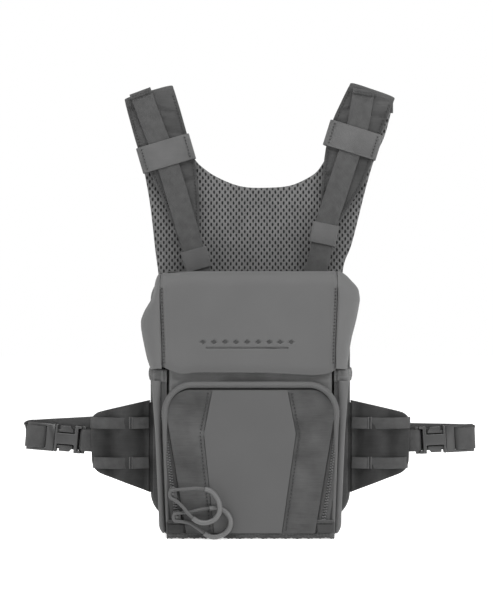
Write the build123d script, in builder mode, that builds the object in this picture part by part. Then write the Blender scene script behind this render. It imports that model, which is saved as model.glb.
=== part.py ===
from build123d import *
import os
from math import atan2, cos, degrees, pi, radians, sin, tan

os.makedirs("parts", exist_ok=True)

# A chest pack for a binocular, worn on a shoulder harness. It stands on its flat bottom.
# X is the wearer's left to right as seen from the front, +Y points to the wearer, +Z is up,
# and the origin is on the bottom. All sizes are in millimetres.

# --- Driving sizes ---
# Main compartment
body_front, body_back = -38.0, 44.0
body_front_half, body_back_half = 72.0, 79.0
body_height = 224.0
body_corner = 4.0
wall = 3.0
floor = 4.0
liner = 1.2
liner_drop = 3.0

# Back panel
panel_half = 89.5
panel_low, panel_high = 8.0, 232.0
panel_thick = 7.0
panel_corner = 24.0
panel_edge = 2.0
piping_wide = 2.0
piping_thick = 3.0

# Lid
lid_front, lid_back = -49.0, 37.0
lid_low = 143.0
lid_side_low = 147.5
lid_bulge_half, lid_bulge_height = 97.5, 194.0
lid_low_half, lid_shoulder_half = 88.0, 84.5
lid_shoulder_height, lid_crown_height = 229.0, 234.5
lid_wall = 3.6
lid_edge = 13.0
hinge_band_half, hinge_band_high = 76.0, 231.0

# Front pocket and its zipper
pocket_low_half, pocket_high_half = 75.5, 80.0
pocket_top, pocket_corner = 137.0, 27.0
pocket_floor = 5.0
pocket_front = -46.8
face_low_half, face_top, face_corner = 56.0, 130.0, 21.0
face_lean = 9.4
face_front = -50.0
tape_thick = 1.0
coil_front = -48.4
inner_tape_wide, coil_wide, coil_gap, outer_tape_wide = 2.2, 1.15, 0.3, 3.2
centre_top_half, centre_mid_half, centre_low_half = 33.0, 40.0, 30.0
centre_mid_height = 92.0
tab_wide, tab_high, tab_thick = 8.0, 9.0, 1.2
tab_corner, tab_gap = 1.5, 1.0
binding_half, binding_thick = 73.0, 2.2
band_half, band_high, band_thick = 68.0, 8.0, 1.6

# Side pockets
side_top, side_low = 146.0, 2.0
side_front_half, side_back_half = 84.5, 90.0
side_taper = 5.0
side_wall = 1.6
side_corner = 2.2
hem_high, hem_thick = 10.0, 2.4

# Magnets of the lid
magnet_radius, magnet_thick, magnet_spread, magnet_height = 7.0, 1.8, 48.0, 158.0

# Belt wings
wing_inner, wing_outer = 92.2, 146.6
wing_front, wing_back = 41.0, 50.0
wing_inner_low, wing_inner_high = 27.0, 116.0
wing_outer_low, wing_outer_high = 47.0, 104.0
wing_corner = 6.0
wing_edge = 3.0
row_high = 10.4
row_heights = (57.0, 94.0)
row_inner, row_outer = 94.0, 145.0
webbing_thick = 1.4
bartack_place, bartack_wide, bartack_thick = 110.5, 2.2, 0.5

# Buckles
webbing_wide = 20.0
buckle_height, buckle_depth = 79.0, 45.5
buckle_tilts = {"left": 5.0, "right": 3.0}
buckle_wide, buckle_thick = 25.0, 9.0
bar_start, bar_long, slot_long = 5.0, 3.5, 3.2
anchor_start = 1.2
housing_end = 33.0
plate = 1.6
window_start, window_end, window_depth = 15.0, 30.5, 7.5
plug_gap = 0.4
plug_shoulder_end = 41.0
plug_end = 58.5
plug_thick = 5.6
tongue_half, tongue_gap = 1.8, 1.0
arm_inner, arm_outer, arm_pad_outer = 5.6, 8.0, 11.8
arm_tip, arm_pad_slope, arm_pad_end = 16.2, 3.0, 28.6
arm_thick = 5.0
clear = 0.3
strap_gap = 0.8
strap_inner_end = -47.0

# Shoulder harness, from the front backwards
keeper_thick = 1.1
harness_webbing_back = 43.8
shoulder_pad_front, shoulder_pad_back = 44.0, 49.5
yoke_front, yoke_back = 51.5, 55.0
fold_low = 388.0
yoke_arm_top, yoke_low = 387.6, 130.0
stub_inner, stub_outer, stub_low = 40.0, 60.0, 118.0
webbing_low = 228.0

# Zipper pulls
slider_wide, slider_long, slider_thick = 6.2, 11.0, 3.0
slider_corner = 2.0
slider_heights = {"upper": 40.0, "lower": 20.0}
post_radius, post_long = 1.2, 3.8
cord_diameter = 2.8
grip_diameter = 4.3


def facing(y):
    """Sketch plane that faces the viewer at depth y; its two axes are X and Z."""
    return Plane.XZ.offset(-y)


def keep(part, name):
    part.label = name
    export_step(part, f"parts/{name}.step")


def slab(name, outline, back, front, holes=()):
    """Flat piece with one outline, from its back plane forward to its front plane."""
    with BuildPart() as piece:
        with BuildSketch(facing(back)):
            add(outline)
            for hole in holes:
                add(hole, mode=Mode.SUBTRACT)
        extrude(amount=back - front)
    keep(piece.part, name)


def outline_of(*corners):
    with BuildSketch() as outline:
        Polygon(*corners, align=None)
    return outline.sketch


def mirrored(corners, side):
    return [(side * x, y) for x, y in corners]


# --- Main compartment ---
def body_plan(inset):
    """Plan of the compartment, wider at the back, with its walls set in."""
    with BuildSketch() as plan:
        Polygon(
            (-body_front_half, body_front),
            (body_front_half, body_front),
            (body_back_half, body_back),
            (-body_back_half, body_back),
            align=None,
        )
        fillet(plan.vertices(), body_corner)
        if inset:
            offset(amount=-inset)
    return plan.sketch


body_outline = body_plan(0)
room_outline = body_plan(wall)
lined_outline = body_plan(wall + liner)

with BuildPart() as main_shell:
    with BuildSketch():
        add(body_outline)
    extrude(amount=body_height)
    with BuildSketch(Plane.XY.offset(floor)):
        add(room_outline)
    extrude(amount=body_height, mode=Mode.SUBTRACT)
keep(main_shell.part, "main_shell")

with BuildPart() as shell_liner:
    with BuildSketch(Plane.XY.offset(floor)):
        add(room_outline)
    extrude(amount=body_height - floor - liner_drop)
    with BuildSketch(Plane.XY.offset(floor + liner)):
        add(lined_outline)
    extrude(amount=body_height, mode=Mode.SUBTRACT)
keep(shell_liner.part, "shell_liner")

# --- Back panel with its piping ---
def panel_outline(grow):
    with BuildSketch() as outline:
        with Locations((0, (panel_low + panel_high) / 2)):
            RectangleRounded(
                2 * (panel_half + grow), panel_high - panel_low + 2 * grow, panel_corner + grow
            )
    return outline.sketch


panel_back = body_back + panel_thick
with BuildPart() as back_panel:
    with BuildSketch(facing(panel_back)):
        add(panel_outline(0))
    extrude(amount=panel_thick)
    fillet(back_panel.faces().sort_by(Axis.Y)[-1].edges(), panel_edge)
keep(back_panel.part, "back_panel")

slab(
    "panel_piping",
    panel_outline(piping_wide),
    body_back + panel_edge + piping_thick,
    body_back + panel_edge,
    [panel_outline(0)],
)

with BuildPart() as lid_hinge_band:
    with BuildSketch(Plane.XY.offset(body_height)):
        with Locations((0, lid_back + 2 * clear)):
            Rectangle(
                2 * hinge_band_half,
                body_back - webbing_thick - lid_back - 4 * clear,
                align=(Align.CENTER, Align.MIN),
            )
    extrude(amount=hinge_band_high - body_height)
keep(lid_hinge_band.part, "lid_hinge_band")


# --- Lid: a hood over the top and sides, open below and behind ---
def lid_profile(inset):
    """The hood seen from the front: bulging sides under a crowned top."""
    low, shoulder = lid_low_half - inset, lid_shoulder_half - inset
    with BuildSketch() as profile:
        with BuildLine():
            Line((-low, lid_low), (low, lid_low))
            ThreePointArc(
                (low, lid_low),
                (lid_bulge_half - inset, lid_bulge_height),
                (shoulder, lid_shoulder_height - inset),
            )
            ThreePointArc(
                (shoulder, lid_shoulder_height - inset),
                (0, lid_crown_height - inset),
                (-shoulder, lid_shoulder_height - inset),
            )
            ThreePointArc(
                (-shoulder, lid_shoulder_height - inset),
                (-lid_bulge_half + inset, lid_bulge_height),
                (-low, lid_low),
            )
        make_face()
    return profile.sketch


def rounded_front(part, radius):
    """Edges of the front face that run up its sides and over its top."""
    front = part.faces().sort_by(Axis.Y)[0].edges()
    return [edge for edge in front if edge.center().Z > lid_low + radius / 2]


with BuildPart() as lid_room:
    with BuildSketch(facing(lid_back + lid_wall)):
        add(lid_profile(lid_wall))
    extrude(amount=lid_back - lid_front)
    fillet(rounded_front(lid_room.part, lid_edge), lid_edge - lid_wall)

with BuildPart() as lid_shell:
    with BuildSketch(facing(lid_back)):
        add(lid_profile(0))
    extrude(amount=lid_back - lid_front)
    fillet(rounded_front(lid_shell.part, lid_edge), lid_edge)
    add(lid_room.part, mode=Mode.SUBTRACT)
    with BuildSketch(Plane.XY.offset(lid_side_low)):
        with Locations((0, lid_front + lid_edge)):
            Rectangle(3 * lid_bulge_half, 2 * panel_half, align=(Align.CENTER, Align.MIN))
    extrude(amount=lid_low - lid_side_low, mode=Mode.SUBTRACT)
keep(lid_shell.part, "lid_shell")


def magnets(name, back):
    with BuildPart() as discs:
        with BuildSketch(facing(back)):
            with Locations((-magnet_spread, magnet_height), (magnet_spread, magnet_height)):
                Circle(magnet_radius)
        extrude(amount=magnet_thick)
    keep(discs.part, name)


magnets("lid_magnets", lid_front + lid_wall + magnet_thick)
magnets("shell_magnets", body_front)

# --- Front pocket: a frame round a panel that drops forward on its bottom seam ---
lean = radians(face_lean)
flap_bottom = pocket_floor + clear


def zip_outline(grow):
    """Outline of the pocket's face, grown sideways and upwards, with its bottom edge kept."""
    low = face_low_half + grow / cos(lean)
    high = low + (face_top + grow - flap_bottom) * tan(lean)
    with BuildSketch() as outline:
        Polygon(
            (-low, flap_bottom), (low, flap_bottom), (high, face_top + grow), (-high, face_top + grow),
            align=None,
        )
        fillet(outline.vertices().group_by(Axis.Y)[-1], face_corner + grow)
    return outline.sketch


face_outline = zip_outline(0)
inner_coil_edge = inner_tape_wide + coil_wide
outer_coil_start = inner_coil_edge + coil_gap
outer_coil_edge = outer_coil_start + coil_wide
tape_front = pocket_front - tape_thick

with BuildSketch() as frame_outline:
    Polygon(
        (-pocket_low_half, 0),
        (pocket_low_half, 0),
        (pocket_high_half, pocket_top),
        (-pocket_high_half, pocket_top),
        align=None,
    )
    fillet(frame_outline.vertices().group_by(Axis.Y)[-1], pocket_corner)

with BuildSketch() as outer_tape_outline:
    add(zip_outline(outer_coil_edge + outer_tape_wide))
    add(frame_outline.sketch, mode=Mode.INTERSECT)

slab("pocket_gusset", frame_outline.sketch, body_front, pocket_front, [zip_outline(outer_coil_edge)])
slab(
    "zipper_tape",
    outer_tape_outline.sketch,
    pocket_front,
    tape_front,
    [zip_outline(outer_coil_edge)],
)
slab(
    "zipper_coil_outer",
    zip_outline(outer_coil_edge),
    pocket_front,
    coil_front,
    [zip_outline(outer_coil_start)],
)
slab(
    "zipper_coil_inner",
    zip_outline(inner_coil_edge),
    pocket_front,
    coil_front,
    [zip_outline(inner_tape_wide)],
)
slab("flap_backing", zip_outline(inner_tape_wide), pocket_front, tape_front)

centre_outline = outline_of(
    (-centre_low_half, flap_bottom),
    (centre_low_half, flap_bottom),
    (centre_mid_half, centre_mid_height),
    (centre_top_half, face_top),
    (-centre_top_half, face_top),
    (-centre_mid_half, centre_mid_height),
)
slab("flap_centre_panel", centre_outline, tape_front, face_front)
for side_name, side in (("left", 1), ("right", -1)):
    other_half = outline_of(
        *mirrored([(0, 0), (panel_half, 0), (panel_half, panel_high), (0, panel_high)], side)
    )
    slab(
        f"flap_side_panel_{side_name}",
        face_outline,
        tape_front,
        face_front,
        [centre_outline, other_half],
    )

slab(
    "bottom_binding",
    outline_of((-binding_half, 0), (binding_half, 0), (binding_half, pocket_floor),
               (-binding_half, pocket_floor)),
    pocket_front,
    pocket_front - binding_thick,
)

with BuildPart() as zip_end_tabs:
    tab_inner = face_low_half + (outer_coil_edge + tab_gap) / cos(lean) + tab_high * tan(lean)
    for side in (-1, 1):
        with BuildSketch(facing(tape_front)):
            with Locations((side * (tab_inner + tab_wide / 2), flap_bottom + tab_high / 2)):
                RectangleRounded(tab_wide, tab_high, tab_corner)
        extrude(amount=tab_thick)
keep(zip_end_tabs.part, "zip_end_tabs")

slab(
    "front_band",
    outline_of((-band_half, pocket_top), (band_half, pocket_top), (band_half, pocket_top + band_high),
               (-band_half, pocket_top + band_high)),
    body_front,
    body_front - band_thick,
)

# --- Side pockets: stretch pouches that stand off the compartment's sides ---
def side_plan(side, height, inset):
    """Plan of a pouch at one height; it narrows by the taper from its top to its bottom."""
    shift = inset + side_taper * (side_top - height) / (side_top - side_low)
    front, back = body_front + clear + inset, body_back - clear - inset
    front_half, back_half = side_front_half - shift, side_back_half - shift
    corners = [
        (0, front),
        (front_half - side_corner, front),
        (front_half, front + side_corner),
        (back_half, back - side_corner),
        (back_half - side_corner, back),
        (0, back),
    ]
    return outline_of(*mirrored(corners, side))


def pouch_block(side, low, high, inset):
    """Solid of a pouch's outer form between two heights, set in all round."""
    with BuildPart() as block:
        for height in (low, high):
            with BuildSketch(Plane.XY.offset(height)):
                add(side_plan(side, height, inset))
        loft(ruled=True)
    return block.part


def pouch(name, side, low, high, thick, bottom):
    """Wall of a pouch between two heights; bottom is the thickness of its floor, or 0."""
    block = pouch_block(side, low, high, 0)
    hollow = pouch_block(side, low + bottom, high, thick)
    with BuildPart() as piece:
        add(block)
        add(hollow, mode=Mode.SUBTRACT)
        with BuildSketch(Plane.XY.offset(low)):
            add(body_outline)
        extrude(amount=high - low, mode=Mode.SUBTRACT)
        with BuildSketch(Plane.XY.offset(low)):
            Rectangle(2 * (body_front_half - body_corner), 3 * body_back)
        extrude(amount=high - low, mode=Mode.SUBTRACT)
    keep(piece.part, name)


for side_name, side in (("left", -1), ("right", 1)):
    pouch(f"side_pocket_{side_name}", side, side_low, side_top - hem_high, side_wall, side_wall)
    pouch(f"pocket_hem_{side_name}", side, side_top - hem_high, side_top, hem_thick, 0)

# --- Belt wings, their webbing rows and their buckles ---
for side_name, side in (("left", -1), ("right", 1)):
    with BuildPart() as wing_pad:
        with BuildSketch(facing(wing_back)) as wing_outline:
            Polygon(
                *mirrored(
                    [
                        (wing_inner, wing_inner_low),
                        (wing_outer, wing_outer_low),
                        (wing_outer, wing_outer_high),
                        (wing_inner, wing_inner_high),
                    ],
                    side,
                ),
                align=None,
            )
            outer_corners = wing_outline.vertices().sort_by(Axis.X)
            fillet(outer_corners[:2] if side < 0 else outer_corners[2:], wing_corner)
        extrude(amount=wing_back - wing_front)
        fillet(wing_pad.faces().sort_by(Axis.Y)[0].edges(), wing_edge)
    keep(wing_pad.part, f"wing_pad_{side_name}")

    with BuildPart() as wing_webbing:
        with BuildSketch(facing(wing_front)):
            for row_height in row_heights:
                Polygon(
                    *mirrored(
                        [
                            (row_inner, row_height - row_high / 2),
                            (row_outer, row_height - row_high / 2),
                            (row_outer, row_height + row_high / 2),
                            (row_inner, row_height + row_high / 2),
                        ],
                        side,
                    ),
                    align=None,
                )
        extrude(amount=webbing_thick)
    keep(wing_webbing.part, f"wing_webbing_{side_name}")

    with BuildPart() as wing_bartacks:
        with BuildSketch(facing(wing_front - webbing_thick)):
            with Locations(*[(side * bartack_place, height) for height in row_heights]):
                Rectangle(bartack_wide, row_high - 2 * bartack_thick)
        extrude(amount=bartack_thick)
    keep(wing_bartacks.part, f"wing_bartacks_{side_name}")

# A buckle is drawn in its own frame: along its length away from the wing, up, and forward.
def buckle_frame(side_name, side):
    tilt = radians(buckle_tilts[side_name])
    return Plane(
        origin=(side * wing_outer, buckle_depth, buckle_height),
        x_dir=(side * cos(tilt), 0, sin(tilt)),
        z_dir=(0, -side, 0),
    )


def boxed(plane, start, end, low, high, back, front):
    """A block in a buckle's frame, from its two ends, its two edges and its two faces."""
    with BuildSketch(plane.offset(back)) as block:
        with Locations(((start + end) / 2, (low + high) / 2)):
            Rectangle(end - start, high - low)
    extrude(block.sketch, amount=front - back)


bar_end = bar_start + bar_long
housing_start = bar_end + slot_long
cavity_start = housing_start + plate
half_wide, half_thick = buckle_wide / 2, buckle_thick / 2
cavity_half_thick = half_thick - plate
rail = (buckle_wide - webbing_wide) / 2 - clear

for side_name, side in (("left", -1), ("right", 1)):
    frame = buckle_frame(side_name, side)

    with BuildPart() as socket:
        boxed(frame, bar_start, housing_end, -half_wide, half_wide, -half_thick, half_thick)
        with BuildSketch(frame.offset(-half_thick)):
            with Locations(((bar_end + housing_start) / 2, 0)):
                Rectangle(slot_long, buckle_wide - 2 * rail)
        extrude(amount=buckle_thick, mode=Mode.SUBTRACT)
        with BuildSketch(frame.offset(-cavity_half_thick)):
            with Locations(((cavity_start + housing_end) / 2, 0)):
                Rectangle(housing_end - cavity_start, 2 * buckle_wide)
        extrude(amount=2 * cavity_half_thick, mode=Mode.SUBTRACT)
        with BuildSketch(frame.offset(-half_thick)):
            for edge in (-1, 1):
                with Locations(
                    ((window_start + window_end) / 2, edge * (half_wide - window_depth / 2))
                ):
                    Rectangle(window_end - window_start, window_depth)
        extrude(amount=buckle_thick, mode=Mode.SUBTRACT)
        for face in (-1, 1):
            with BuildSketch(frame.offset(face * half_thick)):
                with Locations((bar_start + bar_long / 2, 0)):
                    Rectangle(bar_long, 2 * buckle_wide)
            extrude(amount=-face * (half_thick - plate), mode=Mode.SUBTRACT)
    keep(socket.part, f"buckle_socket_{side_name}")

    with BuildPart() as anchor:
        loop_half = plate + clear + webbing_thick
        loop_end = bar_end + clear + webbing_thick
        with BuildSketch(frame.offset(-loop_half)):
            with Locations(((anchor_start + loop_end) / 2, 0)):
                Rectangle(loop_end - anchor_start, webbing_wide)
        extrude(amount=2 * loop_half)
        with BuildSketch(frame.offset(-plate - clear)):
            with Locations((bar_start + bar_long / 2, 0)):
                Rectangle(bar_long + 2 * clear, 2 * webbing_wide)
        extrude(amount=2 * (plate + clear), mode=Mode.SUBTRACT)
    keep(anchor.part, f"buckle_anchor_{side_name}")

    plug_start = housing_end + plug_gap
    with BuildPart() as plug:
        boxed(frame, plug_start, plug_end, -half_wide, half_wide, -plug_thick / 2, plug_thick / 2)
        boxed(frame, cavity_start + tongue_gap, plug_start, -tongue_half, tongue_half,
              -arm_thick / 2, arm_thick / 2)
        first_slot, last_slot = plug_shoulder_end, plug_shoulder_end + slot_long + bar_long
        with BuildSketch(frame.offset(-plug_thick / 2)):
            for slot in (first_slot, last_slot):
                with Locations((slot + slot_long / 2, 0)):
                    Rectangle(slot_long, buckle_wide - 2 * rail)
        extrude(amount=plug_thick, mode=Mode.SUBTRACT)
    keep(plug.part, f"buckle_plug_{side_name}")

    for arm_name, edge in (("upper", 1), ("lower", -1)):
        with BuildPart() as arm:
            with BuildSketch(frame.offset(-arm_thick / 2)):
                Polygon(
                    (plug_start - clear, edge * arm_inner),
                    (arm_tip, edge * arm_inner),
                    (arm_tip, edge * arm_outer),
                    (arm_tip + arm_pad_slope, edge * arm_pad_outer),
                    (arm_pad_end, edge * arm_pad_outer),
                    (arm_pad_end, edge * arm_outer),
                    (plug_start - clear, edge * arm_outer),
                    align=None,
                )
            extrude(amount=arm_thick)
        keep(arm.part, f"buckle_arm_{arm_name}_{side_name}")

    # The side strap lies over the plug's bars, turns round the last one and runs back behind
    # the wing.
    strap_front = plug_thick / 2 + clear
    strap_back = wing_back + strap_gap - buckle_depth
    strap_start = first_slot + slot_long
    fold_end = plug_end + clear + webbing_thick
    with BuildPart() as side_strap:
        for start, end, front, thick in (
            (strap_start, fold_end, strap_front + webbing_thick, webbing_thick),
            (plug_end + clear, fold_end, strap_front + webbing_thick,
             strap_front + strap_back + 2 * webbing_thick),
            (strap_inner_end, fold_end, -strap_back, webbing_thick),
        ):
            with BuildSketch(frame.offset(side * front)):
                with Locations(((start + end) / 2, 0)):
                    Rectangle(end - start, webbing_wide)
            extrude(amount=-side * thick)
    keep(side_strap.part, f"side_strap_{side_name}")

# --- Shoulder harness ---
# Each side has its own outlines, because the harness lies a little to one side.
pad_outlines = {
    "left": [
        (-116.4, 394.5), (-71.8, 407.4), (-58.5, 361.0), (-52.0, 338.1), (-48.8, 321.5), (-46.6, 264.0),
        (-66.9, 264.8), (-72.4, 281.0), (-92.3, 324.3), (-103.0, 347.3),
    ],
    "right": [
        (92.9, 409.6), (134.0, 395.6), (119.4, 360.2), (112.0, 336.5), (103.7, 315.1), (84.4, 284.7),
        (63.0, 287.1), (66.7, 327.3), (70.0, 347.5), (76.4, 374.0),
    ],
}
webbing_routes = {
    "left": [(-101.0, 398.0), (-83.6, 352.8), (-74.5, 328.9), (-52.1, 253.7), (-45.0, webbing_low)],
    "right": [(104.0, 399.0), (98.3, 367.2), (90.4, 341.8), (70.3, 279.8), (62.9, 245.2),
              (57.0, webbing_low)],
}
wide_keepers = {"left": ((-77.5, 343.0), 16.3), "right": ((94.4, 355.3), -17.3)}
small_keeper_heights = {"left": 245.6, "right": 268.6}
wide_keeper_wide, wide_keeper_high = 49.0, 24.0
small_keeper_wide, small_keeper_high = 22.8, 19.0


def ribbon(route, wide):
    """Outline of a strap of one width along a route, with its corners mitred."""
    right, left = [], []
    for index, (x, z) in enumerate(route):
        before = route[max(index - 1, 0)]
        after = route[min(index + 1, len(route) - 1)]
        heading = atan2(after[1] - before[1], after[0] - before[0])
        right.append((x + wide / 2 * sin(heading), z - wide / 2 * cos(heading)))
        left.append((x - wide / 2 * sin(heading), z + wide / 2 * cos(heading)))
    return right + left[::-1]


def on_route(route, height):
    """X of a strap at one height, and its lean from upright in degrees."""
    for (x_high, high), (x_low, low) in zip(route, route[1:]):
        if low <= height <= high:
            share = (high - height) / (high - low)
            return x_high + (x_low - x_high) * share, degrees(atan2(x_low - x_high, high - low))


harness_webbing_front = harness_webbing_back - webbing_thick
for side_name, side in (("left", -1), ("right", 1)):
    pad_outline = outline_of(*pad_outlines[side_name])
    with BuildPart() as shoulder_pad:
        with BuildSketch(facing(shoulder_pad_back)):
            add(pad_outline)
        extrude(amount=shoulder_pad_back - shoulder_pad_front)
        with BuildSketch(facing(yoke_back)):
            add(pad_outline)
            with Locations((0, fold_low)):
                Rectangle(
                    4 * panel_half, fold_low, align=(Align.CENTER, Align.MAX), mode=Mode.SUBTRACT
                )
        extrude(amount=yoke_back - shoulder_pad_front)
    keep(shoulder_pad.part, f"shoulder_pad_{side_name}")

    slab(
        f"shoulder_webbing_{side_name}",
        outline_of(*ribbon(webbing_routes[side_name], webbing_wide)),
        harness_webbing_back,
        harness_webbing_front,
    )

    (keeper_x, keeper_z), turn = wide_keepers[side_name]
    with BuildSketch() as wide_outline:
        with Locations(Location((keeper_x, keeper_z), turn)):
            Rectangle(wide_keeper_wide, wide_keeper_high)
    slab(
        f"wide_keeper_{side_name}",
        wide_outline.sketch,
        harness_webbing_front,
        harness_webbing_front - keeper_thick,
    )

    keeper_z = small_keeper_heights[side_name]
    keeper_x, turn = on_route(webbing_routes[side_name], keeper_z)
    keeper_depth = harness_webbing_back - webbing_thick / 2
    ring_half = webbing_thick / 2 + clear
    with BuildPart() as small_keeper:
        with BuildSketch(facing(keeper_depth + ring_half + keeper_thick)):
            with Locations(Location((keeper_x, keeper_z), turn)):
                Rectangle(small_keeper_wide + 2 * clear, small_keeper_high)
        extrude(amount=2 * (ring_half + keeper_thick))
        with BuildSketch(facing(keeper_depth + ring_half)):
            with Locations(Location((keeper_x, keeper_z), turn)):
                Rectangle(webbing_wide + 4 * clear, 2 * small_keeper_high)
        extrude(amount=2 * ring_half, mode=Mode.SUBTRACT)
    keep(small_keeper.part, f"small_keeper_{side_name}")

# The yoke hangs behind the pack from the two shoulder folds.
with BuildPart() as yoke_panel:
    with BuildSketch(facing(yoke_back)):
        with BuildLine():
            Polyline(
                (-76.0, yoke_arm_top), (-113.0, yoke_arm_top), (-101.0, 345.0), (-97.8, 325.8),
                (-92.3, 294.4), (-87.7, 253.7), (-84.9, 232.7), (-78.0, 170.0), (-60.0, yoke_low),
                (60.0, yoke_low), (78.0, 170.0), (86.2, 239.6), (94.1, 261.7), (107.4, 314.2),
                (115.6, 340.8), (123.9, 360.2), (131.0, yoke_arm_top), (98.0, yoke_arm_top),
            )
            Spline((98.0, yoke_arm_top), (68.5, 337.2), (38.1, 314.5), (8.0, 312.0), (-22.0, 317.6),
                   (-50.9, 338.1), (-76.0, yoke_arm_top))
        make_face()
    extrude(amount=yoke_back - yoke_front)
keep(yoke_panel.part, "yoke_panel")

with BuildPart() as yoke_straps:
    for side in (-1, 1):
        with BuildSketch(facing(yoke_back)):
            Polygon(
                *mirrored(
                    [
                        (stub_inner, yoke_low),
                        (stub_outer, yoke_low),
                        (stub_outer, stub_low),
                        (stub_inner, stub_low),
                    ],
                    side,
                ),
                align=None,
            )
        extrude(amount=webbing_thick)
keep(yoke_straps.part, "yoke_straps")

# --- Zipper sliders, and the cord and grip of each pull ---
coil_line = inner_coil_edge + coil_gap / 2
slider_back = coil_front - clear


def on_coil(height):
    """X of the closed coil on its left run."""
    return -(face_low_half + coil_line / cos(lean) + (height - flap_bottom) * tan(lean))


for slider_name, height in slider_heights.items():
    with BuildPart() as slider:
        with BuildSketch(facing(slider_back)):
            with Locations(Location((on_coil(height), height), face_lean)):
                RectangleRounded(slider_wide, slider_long, slider_corner)
        extrude(amount=slider_thick)
        with BuildSketch(facing(slider_back - slider_thick)):
            with Locations((on_coil(height), height)):
                Circle(post_radius)
        extrude(amount=post_long)
    keep(slider.part, f"zipper_slider_{slider_name}")

# A pull's loop is a list of corners from its slider's post: across, forward of the face, and up.
# The cord runs between the two ends of its moulded grip and turns round the post.
pull_loops = {
    "upper": {
        "cord": [
            (27.6, 7.3, 4.6), (21.0, 7.2, 5.7), (12.6, 6.2, 4.5), (4.4, 4.1, 3.9), (-2.95, 3.6, 3.3),
            (-2.95, 3.6, -3.3), (3.0, 4.1, -5.8), (8.8, 6.0, -11.0), (13.2, 7.2, -16.8),
            (17.4, 7.3, -20.4),
        ],
        "grip": [
            (27.6, 7.3, 4.6), (33.2, 7.35, 3.6), (39.6, 7.3, -4.6), (41.2, 7.25, -14.6),
            (36.6, 7.3, -22.0), (28.0, 7.35, -25.0), (21.0, 7.36, -23.5), (17.4, 7.3, -20.4),
        ],
    },
    "lower": {
        "cord": [
            (28.4, 2.75, 7.6), (20.4, 2.8, 7.0), (12.4, 2.9, 4.2), (5.2, 3.2, 3.6), (-2.95, 3.4, 3.3),
            (-2.95, 3.4, -3.3), (4.2, 3.2, -3.9), (11.4, 2.9, -5.0), (18.2, 2.8, -9.8),
            (23.9, 2.75, -14.0),
        ],
        "grip": [
            (28.4, 2.75, 7.6), (36.0, 2.7, 8.2), (44.0, 2.75, 3.6), (47.4, 2.7, -4.4),
            (44.6, 2.75, -12.4), (37.4, 2.7, -16.8), (28.8, 2.72, -17.6), (23.9, 2.75, -14.0),
        ],
    },
}


def corner_radii(points):
    """Radius of each corner: nearly half its shorter run, over the tangent of half its turn."""
    radii = []
    for a, b, c in zip(points, points[1:], points[2:]):
        before, after = b - a, c - b
        turn = before.get_angle(after)
        radii.append(0.45 * min(before.length, after.length) / tan(radians(turn / 2)))
    return radii


def tube(name, corners, height, diameter):
    origin = Vector(on_coil(height), face_front, height)
    points = [origin + Vector(x, -y, z) for x, y, z in corners]
    radii = corner_radii(points)
    with BuildPart() as piece:
        with BuildLine() as path:
            FilletPolyline(*points, radius=radii)
        with BuildSketch(Plane(origin=path.line @ 0, z_dir=path.line % 0)):
            Circle(diameter / 2)
        sweep()
    ratio = piece.part.volume / (pi * diameter**2 / 4 * path.wire().length)
    print(name, "length", round(path.wire().length, 1), "volume ratio", round(ratio, 4),
          "radii", [round(r, 1) for r in radii])
    keep(piece.part, name)


for slider_name, loop in pull_loops.items():
    height = slider_heights[slider_name]
    tube(f"pull_cord_{slider_name}", loop["cord"], height, cord_diameter)
    tube(f"pull_grip_{slider_name}", loop["grip"], height, grip_diameter)
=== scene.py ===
import bmesh
import bpy
import numpy as np
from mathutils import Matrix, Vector


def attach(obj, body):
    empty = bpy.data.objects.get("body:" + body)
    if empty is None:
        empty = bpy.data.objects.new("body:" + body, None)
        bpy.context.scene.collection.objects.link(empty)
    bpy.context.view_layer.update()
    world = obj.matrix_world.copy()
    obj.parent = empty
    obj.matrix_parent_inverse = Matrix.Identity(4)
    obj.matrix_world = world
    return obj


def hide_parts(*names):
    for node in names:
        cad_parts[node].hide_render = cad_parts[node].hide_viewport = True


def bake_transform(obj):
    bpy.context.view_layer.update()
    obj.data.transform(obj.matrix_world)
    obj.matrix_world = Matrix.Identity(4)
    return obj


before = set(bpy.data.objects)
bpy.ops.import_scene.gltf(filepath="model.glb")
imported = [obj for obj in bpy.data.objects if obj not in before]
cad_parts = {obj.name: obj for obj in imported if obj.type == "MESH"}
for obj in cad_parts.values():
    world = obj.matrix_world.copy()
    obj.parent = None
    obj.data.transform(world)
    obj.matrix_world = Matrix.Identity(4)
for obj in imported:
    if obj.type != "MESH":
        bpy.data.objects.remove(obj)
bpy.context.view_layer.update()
mm = 0.001  # every size below is in millimetres
print("frame loaded")


# Colours and materials

def linearColour(code):
    # sRGB hex to linear light, with full alpha
    part = np.array([int(code[i : i + 2], 16) for i in (1, 3, 5)]) / 255
    light = np.where(part <= 0.04045, part / 12.92, ((part + 0.055) / 1.055) ** 2.4)
    return (*light, 1.0)


def addNode(tree, kind, inputs=(), **settings):
    # one node; its inputs are listed in order or by name, and each is a value, a socket or
    # another node, which gives its first output
    node = tree.nodes.new("ShaderNode" + kind)
    for key, value in settings.items():
        setattr(node, key, value)
    for key, value in inputs.items() if isinstance(inputs, dict) else enumerate(inputs):
        if isinstance(value, bpy.types.Node):
            value = value.outputs[0]
        if isinstance(value, bpy.types.NodeSocket):
            tree.links.new(value, node.inputs[key])
        else:
            node.inputs[key].default_value = value
    return node


def startMaterial(name, roughness, sheen=0.0):
    # a material with its shader; cloth has some sheen and mirrors a little less
    material = bpy.data.materials.new(name)
    material.use_nodes = True
    tree = material.node_tree
    shader = tree.nodes["Principled BSDF"]
    values = {"Roughness": roughness, "Sheen Weight": sheen, "Sheen Roughness": 0.55,
              "Specular IOR Level": 0.35 if sheen else 0.5}
    for key, value in values.items():
        shader.inputs[key].default_value = value
    return material, tree, shader


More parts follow.
